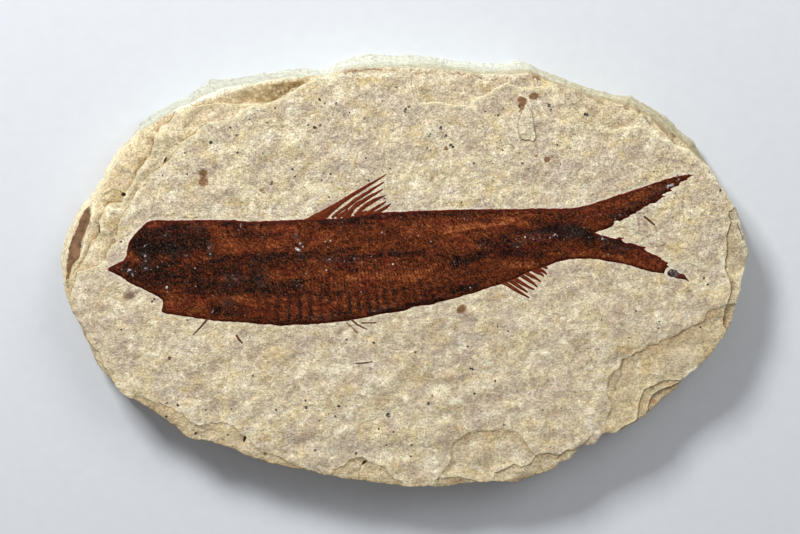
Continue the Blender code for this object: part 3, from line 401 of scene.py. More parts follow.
# Fin rays: middle lines from root to tip
DORSAL_RAYS = [
    [(-22, 10.9), (-20.2, 11.4), (-18.4, 12), (-16.3, 13.1), (-14.8, 14.1), (-13.7, 14.9), (-11.2, 16.5),
     (-8.3, 18.3), (-6.7, 19.2), (-5.3, 20.1)],
    [(-15.8, 11.5), (-14.1, 12.9), (-12.3, 14.1), (-10.5, 15.5), (-7.8, 17.1), (-6, 18.3), (-4.5, 19.3)],
    [(-13.4, 11.5), (-12, 12.8), (-10.5, 14.1), (-9.2, 15), (-7.6, 16), (-6, 16.9), (-4.7, 17.7)],
    [(-10.9, 11.9), (-9.4, 13.4), (-8.1, 14.3), (-6.7, 15.2), (-5, 16), (-4, 16.5)],
    [(-8.8, 12.1), (-7.2, 13), (-5.8, 13.9), (-4, 15)],
    [(-6.5, 12.5), (-5.1, 13.1), (-3.9, 13.8), (-2.9, 14.6)],
]
DORSAL_WIDTHS = [
    (0.3, 1.3, 1.5, 0.95, 0.78, 0.66, 0.35), (0.6, 0.66, 0.8, 0.66, 0.25), (0.7, 0.7, 0.85, 0.7, 0.25),
    (0.7, 0.8, 0.9, 0.7, 0.12), (0.7, 0.72, 0.66, 0.25), (0.6, 0.72, 0.66, 0.14),
]
DORSAL_WEB = [
    ([(-20.6, 10.9), (-18.8, 11.4), (-17, 12.2), (-15.4, 13.2)], (0.8, 1.7, 1.5, 0.4)),
    ([(-14.7, 11.4), (-13.5, 12.3), (-12.3, 13.3)], (1.0, 0.7, 0.3)),
    ([(-12.7, 11.5), (-11.9, 12.6), (-10.6, 14.4), (-9.7, 15.2)], (1.5, 0.9, 0.35)),
    ([(-10.4, 11.8), (-9.4, 12.4), (-8.2, 13)], (1.5, 0.8, 0.3)),
    ([(-7.6, 12.1), (-6.6, 12.5), (-5.4, 12.8)], (1.2, 0.8, 0.3)),
]
DORSAL_THREADS = [
    [(-13.6, 12.2), (-12.3, 13.6), (-10.6, 15)], [(-5.3, 20.1), (-4.5, 20.6), (-3.8, 21.1)],
]
ANAL_RAYS = [
    [(20.8, -2.4), (21.7, -2.8), (23, -3.5), (24.4, -4.4), (25.8, -5.2), (27.2, -6.1)],
    [(22.4, -1.8), (23.1, -2.3), (24.4, -3.2), (25.6, -4), (26.9, -4.9)],
    [(23.6, -1.4), (24.4, -2.1), (25.6, -2.9), (26.9, -3.6), (28.3, -4.3)],
    [(24.8, -0.6), (25.5, -1.1), (26.6, -1.9), (27.9, -2.8), (29, -3.7)],
    [(26, -0.2), (26.6, -0.6), (27.6, -1.2), (28.7, -1.8), (29.7, -2.6)],
    [(27.6, 0.4), (28.3, -0.1), (29, -0.5), (29.8, -0.9), (30.4, -1.4)],
    [(28.4, 0.8), (29, 0.3), (30.1, -0.2), (31.1, -0.9)],
    [(29.6, 1.2), (30.2, 0.8), (31.2, 0.3)],
]
PAIRED_RAYS = [
    [(-42.4, -10), (-44.4, -12.3), (-46.3, -14.4)], [(-12.2, -10.4), (-10.4, -12), (-8.2, -13.1)],
]
PAIRED_THREADS = [[(-9.4, -11.7), (-7.6, -11.6), (-5, -11.6)]]
# Widths at even steps from the root to the tip
THREAD_WIDTHS = (0.34, 0.26, 0.16)
ANAL_WIDTHS = (0.95, 0.8, 0.36)
PAIRED_WIDTHS = (0.44, 0.4, 0.24)

# Bits that broke away from the fish
TAIL_TIP = [
    (57.3, -0.6), (57.6, -0.1), (58, 0.3), (58.6, 0.1), (59.2, 0.1), (59.5, -0.3), (59.8, -0.7),
    (60.5, -0.8), (61.1, -1.1), (61.5, -1.7), (62.1, -2.6), (61.2, -2.1), (60.5, -2), (59.9, -1.9),
    (59.3, -1.8), (58.7, -1.5), (58.2, -1.5), (57.8, -1.3), (57.4, -1.1),
]
LOOSE_RAY = [(52, 11.8), (53.1, 10.9), (54.4, 9.8)]
RIB_SPLINTER = [(-36.8, -14.3), (-36.3, -15.3), (-35.5, -16.1)]
NEEDLE = [(-10.7, -20.6), (-8.8, -20.5), (-7, -20.2)]
SPLINTER_WIDTHS = (0.4, 0.5, 0.34)
NEEDLE_WIDTHS = (0.2, 0.3, 0.16)

# Marks on the stone: place, size along and across, heading in degrees, strength
BROWN_STAINS = [
    (-43.9, 21.3, 1.2, 1.1, 0, 0.9), (-43.9, 19.4, 1.35, 1.3, 0, 0.9), (-32.3, 18.3, 0.3, 0.5, 10, 0.8),
    (-31.3, 17.6, 0.6, 0.4, 0, 0.9), (-30.5, 18, 0.35, 0.3, 40, 0.7), (-30.2, 19.7, 0.45, 0.4, 0, 0.8),
    (-29.1, 19.8, 0.35, 0.5, 30, 0.6), (-28.9, 19, 0.45, 0.5, 0, 0.9), (-29.8, 18.5, 0.5, 0.3, 0, 0.7),
    (-51.9, 15.4, 1.1, 0.45, 25, 0.5), (-26, 24.9, 0.4, 0.3, 0, 0.5), (6.1, -27.6, 0.3, 0.45, 0, 0.9),
    (2.2, -19.6, 0.35, 0.9, 20, 0.6), (10.8, -29.9, 0.4, 0.4, 0, 0.5), (12.7, 29.8, 0.5, 0.35, 0, 0.5),
    (25.7, 37.2, 1.25, 0.95, -25, 1.1), (25.5, 36, 0.75, 1.1, 10, 1.1), (25.2, 34.9, 0.35, 0.8, 0, 1.0),
    (28.2, 38.2, 1.25, 0.95, 10, 1.1), (9, 26.7, 0.6, 0.6, 0, 0.9), (4.4, 25.8, 0.5, 0.25, 20, 0.6),
    (28.7, 25.1, 0.6, 0.5, 0, 0.8), (17.6, 39.9, 0.4, 0.3, 0, 0.4), (21.6, 35.3, 0.35, 0.3, 0, 0.5),
    (12.4, -8.6, 1.5, 1.1, 40, 0.9), (8, -10.9, 1.8, 0.8, 0, 0.35), (31, 24.3, 0.75, 0.75, 0, 1.2),
    (32.1, 24.9, 0.45, 0.45, 0, 0.9), (37.1, 29.8, 0.4, 0.4, 0, 0.9), (31.4, 18.7, 1.0, 0.6, 0, 0.4),
    (-7.7, 30.6, 0.6, 0.6, 30, 0.6), (28.8, 42.1, 1.8, 0.45, -20, 0.8), (48.2, 35.6, 1.5, 0.5, -22, 0.6),
    (50.8, 34.8, 0.9, 0.5, -20, 0.7), (-46.7, -17.7, 0.5, 0.8, 40, 0.5), (7.6, 16, 0.6, 0.6, 0, 0.35),
    (-27.6, 24.8, 0.7, 0.35, 0, 0.6), (-58.3, 15.3, 0.7, 0.7, 0, 0.4), (-30.5, -40.5, 0.7, 0.4, -20, 0.8),
    (-45.3, -35.7, 0.35, 0.3, 0, 0.7), (-51.7, -32.1, 0.5, 0.35, 0, 0.6),
    (-0.1, -32.9, 0.4, 0.25, -20, 0.6), (58.6, 29.5, 1.1, 0.45, -38, 0.8), (46.6, -16.8, 0.5, 0.4, 0, 0.5),
    (-24.8, -42.2, 0.3, 0.25, 0, 0.7), (-47.2, 11.4, 1.5, 0.22, -12, 0.9), (0.6, 28.2, 0.5, 0.4, 0, 0.4),
    (6, -28, 0.5, 0.5, 0, 0.6), (68.3, 1.6, 0.9, 1.0, 0, 0.35), (16, 22.5, 0.5, 0.5, 0, 0.3),
    (42, -22, 0.7, 0.5, 0, 0.25), (-13, 40.6, 2.6, 0.8, 10, 0.25), (14, 39.6, 3.0, 1.2, 0, 0.25),
    (-68, 11.5, 0.4, 1.2, 10, 0.4),
]
VIOLET_STAINS = [
    (51, 12.5, 0.7, 0.22, 0, 1.0), (45.4, 7.8, 0.7, 0.25, 10, 1.0), (50.7, 6.3, 0.7, 0.2, 0, 0.9),
    (-38, 17.4, 1.8, 1, 20, 0.4), (-60, -5.6, 1.6, 1.15, 15, 1.1), (-58.2, -4.7, 1.0, 0.55, 20, 0.8),
    (-36.8, 15.6, 1.6, 1.0, 30, 0.35), (-33.6, -18.9, 1.4, 0.8, 20, 0.4),
    (-24.5, -26.5, 2.6, 0.8, 35, 0.35), (-42, -22.5, 1.5, 1.0, 60, 0.3), (8, -24.4, 3.6, 0.8, 10, 0.45),
    (24, -22.6, 2.2, 0.8, 0, 0.35), (67.8, 1.8, 0.8, 1.2, 0, 0.4), (38, -15, 3.5, 1.0, 20, 0.3),
    (-4.8, -28, 2.4, 1.2, 40, 0.3), (-52, 11.5, 3, 0.8, 20, 0.25), (56, 24, 2.6, 0.8, 10, 0.25),
    (31, -36, 3, 1.2, 25, 0.3), (-28.5, 14.6, 2.2, 0.8, 15, 0.25), (12.3, -20, 2.0, 0.8, 15, 0.3),
    (-35, -13.9, 1.6, 1.0, 20, 0.3),
]
OCHRE_STAINS = [
    (-28.5, -18.4, 3.6, 2.2, 20, 0.5), (-34, -12, 3.4, 1.4, 0, 0.35), (-45, -24, 2.6, 1.2, 60, 0.4),
    (-8, 35, 3.0, 2.0, 20, 0.3), (-24.7, 26, 2.4, 1.8, 0, 0.4), (24.5, -16.4, 1.6, 1.0, 0, 0.4),
    (45, 16.4, 2.4, 1.2, 15, 0.3), (-56, -15, 2.2, 1.2, 45, 0.35), (19, -13, 2.0, 1.4, 0, 0.35),
    (-22, -35.6, 2.0, 1.2, 30, 0.35), (38, -33, 2.4, 1.0, 30, 0.3), (60, 12, 2.0, 2.0, 0, 0.25),
    (-66, 6, 1.6, 3.0, -30, 0.4), (5, -35, 2.0, 1.2, 0, 0.3), (36, 5.5, 2, 0.8, 10, 0.3),
    (52.6, -21.2, 1.2, 2.2, 10, 0.7), (47, -17.1, 0.6, 0.4, 0, 0.8),
]
ROSY_STAINS = [
    (69.6, -11.2, 0.6, 1.3, 10, 1.0), (58, -25.5, 1.3, 0.5, 28, 1.0), (54, -28.9, 1.2, 0.5, 18, 1.0),
    (50.9, -30.2, 0.8, 0.9, 60, 0.6), (-30.6, -37, 1.3, 0.6, 30, 0.5), (-33.8, -26.6, 0.8, 0.6, 0, 0.4),
    (-16.8, -29.3, 1.0, 0.7, 20, 0.4), (10.7, -30, 0.5, 0.4, 0, 0.5), (23.4, -46.2, 2.0, 0.4, 5, 0.8),
    (11, -46.5, 2.4, 0.4, 0, 0.6), (32.4, -43.3, 1.1, 0.4, 25, 0.8),
]
# Pale spots: partly painted highlights on the tops of the lower face's mounds, partly pale stone
PALE_SPOTS_AND_HIGHLIGHTS = [
    (8.9, -26.2, 1.3, 0.6, -38, 1.0), (11, -28.9, 1.2, 0.45, 8, 1.0), (0.2, -27.9, 0.35, 1.0, 0, 0.9),
    (15.3, -19.2, 0.7, 0.2, -35, 0.7), (25.8, 29.1, 0.35, 0.25, 0, 1.0), (26.8, 28.7, 0.3, 0.2, 0, 1.0),
    (57, -0.5, 0.35, 0.6, -20, 1.0), (42.5, 8.3, 0.9, 0.25, 5, 0.9), (-46.4, 11.1, 1.4, 0.25, 0, 0.9),
    (-59.3, 7.7, 2.4, 0.5, 52, 1.0), (58.6, 1.5, 0.9, 0.5, 10, 1.0), (45, 8.2, 2.4, 0.7, -15, 0.8),
    (46.2, 10.9, 0.7, 0.3, -30, 0.8), (-48.3, 34, 0.8, 0.5, 0, 1.0), (-17.3, 17.4, 3.0, 1.8, 0, 0.5),
    (33, 12.7, 3.5, 0.6, 5, 0.5), (-52.8, 28, 0.8, 1.2, 20, 0.5), (-41, 34.4, 1.2, 0.5, 30, 0.5),
]
# Soft strokes on the stone, tan above zero and cream below, partly painted shade in the tan and painted
# highlight in the cream, partly the stone's own tints: strength, width and line
STONE_TONE_AND_LIGHT_STROKES = [
    (0.45, 0.8, [(4.3, -24.2), (8, -22.8), (10.8, -23.7)]), (0.4, 0.8, [(-8.2, -30.6), (-4.7, -29.5)]),
    (0.3, 0.8, [(-0.4, -23.7), (1.8, -22)]), (-1.7, 0.55, [(8.2, -25.7), (9.2, -26.5)]),
    (-1.7, 0.5, [(10.2, -28.9), (12, -28.5)]), (-1.6, 0.35, [(0.2, -27.2), (0.3, -28.6)]),
    (-0.9, 0.5, [(-18.2, 17.6), (-16.6, 17.2)]),
    (0.8, 0.5, [
        (-54.3, 29), (-54.8, 27.6), (-55.6, 26.2), (-56.6, 24.3), (-57.7, 22.9), (-58.6, 21.2),
        (-59.7, 19.1), (-60.6, 17.6), (-61.5, 16.4)]),
    (0.6, 1.1, [(-57.6, 25.6), (-58.2, 24.4), (-58.8, 23)]),
    (0.6, 0.8, [(-64.4, 17.8), (-63.5, 16.9), (-62.2, 16)]),
    (0.9, 0.35, [(-64, 15.1), (-64.6, 14.4), (-65.8, 13.3), (-66.6, 12), (-67, 10.6)]),
    (1.0, 0.35, [(-66.5, 9.4), (-66.6, 7.7), (-67.8, 6.6), (-68.9, 5), (-69.8, 3.7)]),
    (0.5, 0.5, [(-62, 10.6), (-62.4, 8.4), (-63.1, 6.1), (-64.2, 4.3), (-64.9, 3)]),
    (0.6, 0.3, [(-71.1, 1.7), (-70.9, 0.4), (-70.6, -0.3)]),
    (0.7, 0.35, [(-67.1, 0.8), (-67.8, 0.3), (-70.4, -0.4)]),
    (-0.9, 0.35, [
        (-55.9, 24.7), (-56.2, 23.2), (-57.7, 21.9), (-58.3, 20.9), (-59.3, 18.7), (-60.8, 16.5),
        (-61.5, 15.4)]),
    (-0.9, 0.3, [(-64.9, 14.2), (-64, 13.3), (-62.6, 13.1), (-61.7, 13.3)]),
    (-0.6, 0.25, [
        (-49.5, 28.1), (-52, 24.7), (-54.2, 22.7), (-55.5, 21.2), (-56, 19.6), (-57.1, 18.7), (-58.2, 17.3),
        (-59.1, 15.6), (-60.4, 14), (-61.3, 13.1)]),
    (-0.9, 0.4, [
        (-68.4, 15.1), (-68, 13.3), (-68.4, 11.1), (-69.4, 8.8), (-70.1, 7), (-70.3, 5.2), (-70.7, 3.2)]),
    (-0.5, 0.25, [(-65.7, 14.2), (-66.5, 12.4), (-66.8, 10)]), (-0.7, 1.1, [(-68.4, 4.8), (-67.4, 5.4)]),
    (-1.0, 0.4, [(-65, 1.8), (-66, 1.7), (-67, 1.1)]),
    (-0.9, 0.3, [(-72.2, -1.5), (-71.5, -1), (-70, -0.6)]), (-0.6, 0.9, [(-71.4, -2.2), (-71, -3)]),
    (0.35, 1.6, [(-56.5, -28.9), (-51.5, -32), (-48.5, -35), (-45.2, -36)]),
    (-0.5, 0.5, [(-48.8, -36.3), (-45.5, -36.7), (-41.8, -37.7)]),
    (0.7, 0.4, [(-32.5, -38.7), (-26.5, -41.4), (-22.1, -43.4)]), (0.4, 1.0, [(21, -35.9), (24.6, -36.9)]),
    (0.4, 0.6, [(13.4, -37.2), (16.3, -36.2)]), (0.35, 1.4, [(17.4, -38.7), (18.5, -43.1)]),
    (-0.6, 1.3, [(24.3, -40.6), (26.5, -42.2)]), (-0.4, 0.8, [(21, -38.7), (20.4, -38.2)]),
    (-0.5, 0.8, [(15.2, -37.7), (15, -38.4)]),
    (-1.0, 0.7, [
        (-51, 34.9), (-47.6, 36.4), (-44.2, 38), (-37.2, 40.1), (-33.7, 41), (-28.9, 41.9), (-24, 42.3)]),
    (-0.9, 0.9, [(-50, 35.2), (-47, 36.5), (-44.4, 37.5), (-40, 38.8), (-37, 39.9)]),
    (0.6, 0.8, [(47, -17.6), (50, -17.6)]), (1.0, 0.5, [(-26.8, 40), (-23.3, 40.9), (-21.2, 41.8)]),
    (-0.9, 0.35, [(-37.6, 37.1), (-32, 36.4), (-28.5, 37.1), (-25.4, 38.7), (-22.3, 40.4), (-19.8, 42.2)]),
    (-0.7, 0.3, [(-45.9, 30.9), (-44.2, 31.9), (-40.7, 33), (-36.5, 34), (-35.1, 35.4), (-33.4, 35.8)]),
    (0.5, 0.5, [(-45.9, 36.2), (-45.3, 35.8)]),
    (-0.8, 0.5, [(-18, 42.3), (-12, 42.8), (-6, 43), (0, 42.9)]),
    (0.5, 0.4, [(-13, 43.4), (-7.7, 43.8), (-2.5, 43.8)]), (-0.8, 0.6, [(17, 43), (22, 43.1), (26, 43.2)]),
    (-0.8, 0.4, [(42.9, 31.4), (46, 30.9), (49.2, 31.4), (50.7, 31.8)]),
    (0.5, 0.6, [(46, 31.8), (49.2, 32.6)]), (-0.5, 0.4, [(45.3, 29.1), (48.8, 29.1)]),
    (0.9, 0.5, [(55.4, 32.2), (56.6, 30.6), (59.3, 28.8)]),
    (-0.8, 0.45, [(51.3, 34), (53.6, 30.8), (57.7, 27.9), (60.4, 26.9), (63.4, 24.9)]),
    (-0.6, 0.5, [
        (65.1, 23.4), (66.9, 20.1), (69.5, 16.9), (71.3, 14.2), (72.5, 10.7), (73.8, 6), (74.4, 3)]),
    (-0.5, 0.4, [(73.8, 0), (73, -2.5), (72.2, -7)]),
    (0.45, 1.6, [(67.6, -8.7), (65.3, -11.1), (60.5, -14.4), (57, -16.3), (54.6, -17.5)]),
    (0.5, 0.8, [(51.8, -18.7), (52.3, -19.9), (53.2, -21.3), (53, -23.3)]),
    (-0.35, 1.2, [(53.7, -23), (57, -21.8), (59.3, -19.7), (61.7, -18.3)]),
    (-0.8, 0.6, [(61.5, -23.3), (63.6, -20.9)]),
    (-0.7, 0.25, [(51.1, -19.9), (50.8, -23.3), (51.1, -25.4), (50, -26.6), (49.8, -28)]),
    (-0.5, 0.3, [(46.9, -19.6), (46.4, -21.8), (46.6, -23)]), (0.5, 0.35, [(46.3, -34.2), (49.4, -32.8)]),
    (-0.5, 0.6, [(4, 41.6), (8, 42), (12, 42.2)]), (0.4, 0.3, [(3.4, 40.4), (8, 40.8), (11.7, 41.5)]),
    (-0.9, 0.5, [(69.2, 4), (69.1, 1.5), (69.5, 0.3)]),
    (0.5, 0.6, [(69, -16.3), (67.3, -17.7), (65, -19.4), (64, -20.8)]),
]
# The brown-stained facet of the left rim
LEFT_FACET = [
    (-68.8, 15.1), (-70.1, 13.6), (-70.8, 12), (-71.1, 10.4), (-71.3, 9.5), (-72, 8.9), (-72.4, 7.9),
    (-72.9, 6.4), (-73.2, 4.8), (-73, 3.7), (-73.5, 1.9), (-73.6, 0.5), (-73.5, -0.6), (-73.9, -2.4),
    (-73.8, -3.6), (-73.5, -4.4), (-73.2, -3.3), (-73.2, -1.3), (-72.8, 0.1), (-72.2, 1), (-71.1, 2.6),
    (-70.7, 4.1), (-70.7, 5.5), (-70.6, 6.6), (-70, 7.5), (-69.6, 8.8), (-69, 10), (-68.4, 12),
    (-68.8, 13.3),
]

# Dark specks: place and size
SPECKS = [
    (2.3, -18.1, 0.28), (13.8, -16.8, 0.28), (14.9, -21.8, 0.32), (15.3, -27.1, 0.3), (19.8, -24.4, 0.26),
    (10.05, 27.4, 0.36), (10.6, 27, 0.3), (9, 29.5, 0.34), (20.4, 34, 0.28), (19.7, 34, 0.18),
    (23.1, 33.4, 0.16), (24.1, 33.3, 0.16), (25, 36, 0.22), (20.9, 28.5, 0.2), (21.4, 26.3, 0.24),
    (5.3, 29.4, 0.26), (5.6, 29.9, 0.2), (5, 26.9, 0.24), (5.7, 26.4, 0.22), (-47.4, 21, 0.24),
    (14.4, -21.7, 0.22), (31.5, 36.1, 0.42), (39.4, 34.2, 0.4), (33.2, 27.5, 0.3), (0.1, 35, 0.42),
    (1, 35.8, 0.3), (-1.7, 40.2, 0.25), (-8.8, 33.3, 0.3), (7.9, 31.1, 0.34), (-18.5, 37.4, 0.34),
    (-17.3, 36.7, 0.22), (-14.9, 36.6, 0.28), (-28.2, 35.6, 0.26), (-29.9, 32.3, 0.22), (-38, 31.3, 0.26),
    (-36.6, 29.6, 0.28), (-42.2, 28, 0.42), (-36.4, 25.8, 0.3), (-47.9, 25.7, 0.25), (-52.8, 20.7, 0.2),
    (-19.6, 31.3, 0.42), (-21, 31.8, 0.26), (-18.4, 31.8, 0.3), (-61.8, 6.2, 0.25), (65.3, -1.8, 0.3),
    (66.1, -3.2, 0.26), (50.5, -9, 0.24), (55.3, -12.8, 0.22), (55.5, -11.3, 0.2), (64.5, -12.6, 0.25),
    (-28, -30.7, 0.26), (-21.6, -28.7, 0.26), (-21.5, -30.2, 0.36), (-14.3, -29.9, 0.3),
    (-15.1, -32.1, 0.22), (-18.5, -33.1, 0.22), (-5.6, -35, 0.24), (-2.4, -35.5, 0.28), (1.6, -38.5, 0.26),
    (1.4, -41, 0.24), (-10.5, -40.4, 0.32), (-19.5, -39.6, 0.28), (-3.6, -31.9, 0.5), (-3.9, -38.5, 0.2),
    (5.2, -29.3, 0.38), (-51.2, -19.4, 0.4), (-49.4, -29.7, 0.34), (-52.2, -29.5, 0.2),
    (-43.3, -30.7, 0.22), (-37.8, -30.6, 0.18), (-33, -23.2, 0.22), (-54.5, -6.4, 0.28), (-55, -6.9, 0.28),
    (-47.3, -11, 0.24), (-61.7, -13.1, 0.26), (21.7, -34, 0.22), (-52, -32.3, 0.3), (-45.6, -36, 0.28),
    (-38.5, -36.3, 0.22), (8, 31.4, 0.26), (0.3, 35.4, 0.3), (31.9, 35.2, 0.2), (40, 34, 0.26),
    (15.1, 23.5, 0.24), (25.6, 23.5, 0.22), (33.7, 18.9, 0.2), (-24.4, 22.1, 0.3), (-23.9, 20.5, 0.22),
    (-16.1, 21.1, 0.28), (-18.1, 19.7, 0.22), (-8.4, 24.6, 0.24), (-23.6, 24.4, 0.18), (-30.8, 25.6, 0.22),
    (17.6, 34.8, 0.22), (21, 34, 0.2), (-12, 34.6, 0.2), (-33.8, 33, 0.2), (12.4, 14.9, 0.2),
    (-4.4, 15.7, 0.2), (22.6, -13.4, 0.22), (-12.6, -15.3, 0.26), (20.3, -12.4, 0.2), (-6.7, -16, 0.34),
    (5, -11.3, 0.2), (-16.5, 16, 0.24), (-7.8, 19.6, 0.26), (-3.1, 22.3, 0.22), (-20.4, 19.9, 0.16),
    (-1.9, 15, 0.18), (59.5, 20.8, 0.2), (54.4, 21.6, 0.2), (58.8, 15.8, 0.18), (63.3, 13.8, 0.18),
    (66.4, 21.5, 0.18), (25.8, 23.4, 0.2), (27, 22.2, 0.24), (19.2, 23.4, 0.2), (31.1, 15.2, 0.18),
    (34, 23.2, 0.18), (36.1, 26.7, 0.16), (21.5, 35.6, 0.16), (42.9, -10.9, 0.18), (48.9, -14.9, 0.18),
    (34.2, -30.4, 0.18), (30.2, -30.8, 0.2), (-16.5, -31.6, 0.18), (-51.8, -29.3, 0.2), (-60.5, 7.6, 0.14),
]

# Large tones of the fish, darker below zero and more tan above: strength, softness and outline
FISH_PATCHES = [
    (-1.05, 0.9, [
        (-59.6, 5.1), (-59.4, 6.7), (-57.1, 8.8), (-54, 9.8), (-50.9, 10.4), (-47.3, 10.4), (-43.4, 9.8),
        (-42.7, 8), (-42.7, 5.4), (-42.1, 3.6), (-44, 4.1), (-46.8, 3.1), (-49.3, 2.6), (-50.9, 3.3),
        (-53.7, 3.6), (-56.8, 2.8), (-58.6, 3.1)]),
    (-0.85, 0.8, [
        (-42.6, 2.8), (-38, 3), (-33, 3.4), (-29, 3.9), (-25, 3.9), (-21.4, 3.9), (-21.4, 1.9), (-26, 1.8),
        (-31, 1.2), (-31.5, -1), (-29, -3), (-25, -3), (-22.2, -2), (-22.2, -3.8), (-28, -5), (-32, -5.2),
        (-38, -5.3), (-46, -4.9), (-48, -4.4), (-44, -3.3), (-41.5, -1.5)]),
    (-0.45, 1.1, [
        (-61.5, 1), (-57, 1.4), (-50, 1.6), (-43.5, 1.8), (-41.5, -1), (-43, -3.6), (-50, -3.9),
        (-56, -3.2)]),
    (0.4, 0.5, [
        (-52.2, -5.6), (-48, -5.2), (-43.4, -6), (-42.4, -7.6), (-43.6, -9.6), (-49, -9.6), (-52.6, -8.9)]),
    (0.65, 1.0, [
        (-41.4, 8.4), (-40.4, 9.4), (-39, 9.2), (-38.4, 7.2), (-36, 6), (-33, 6.4), (-28, 6.8), (-26, 6.4),
        (-27, 4.4), (-31, 3.9), (-36, 3.8), (-40, 4.6)]),
]
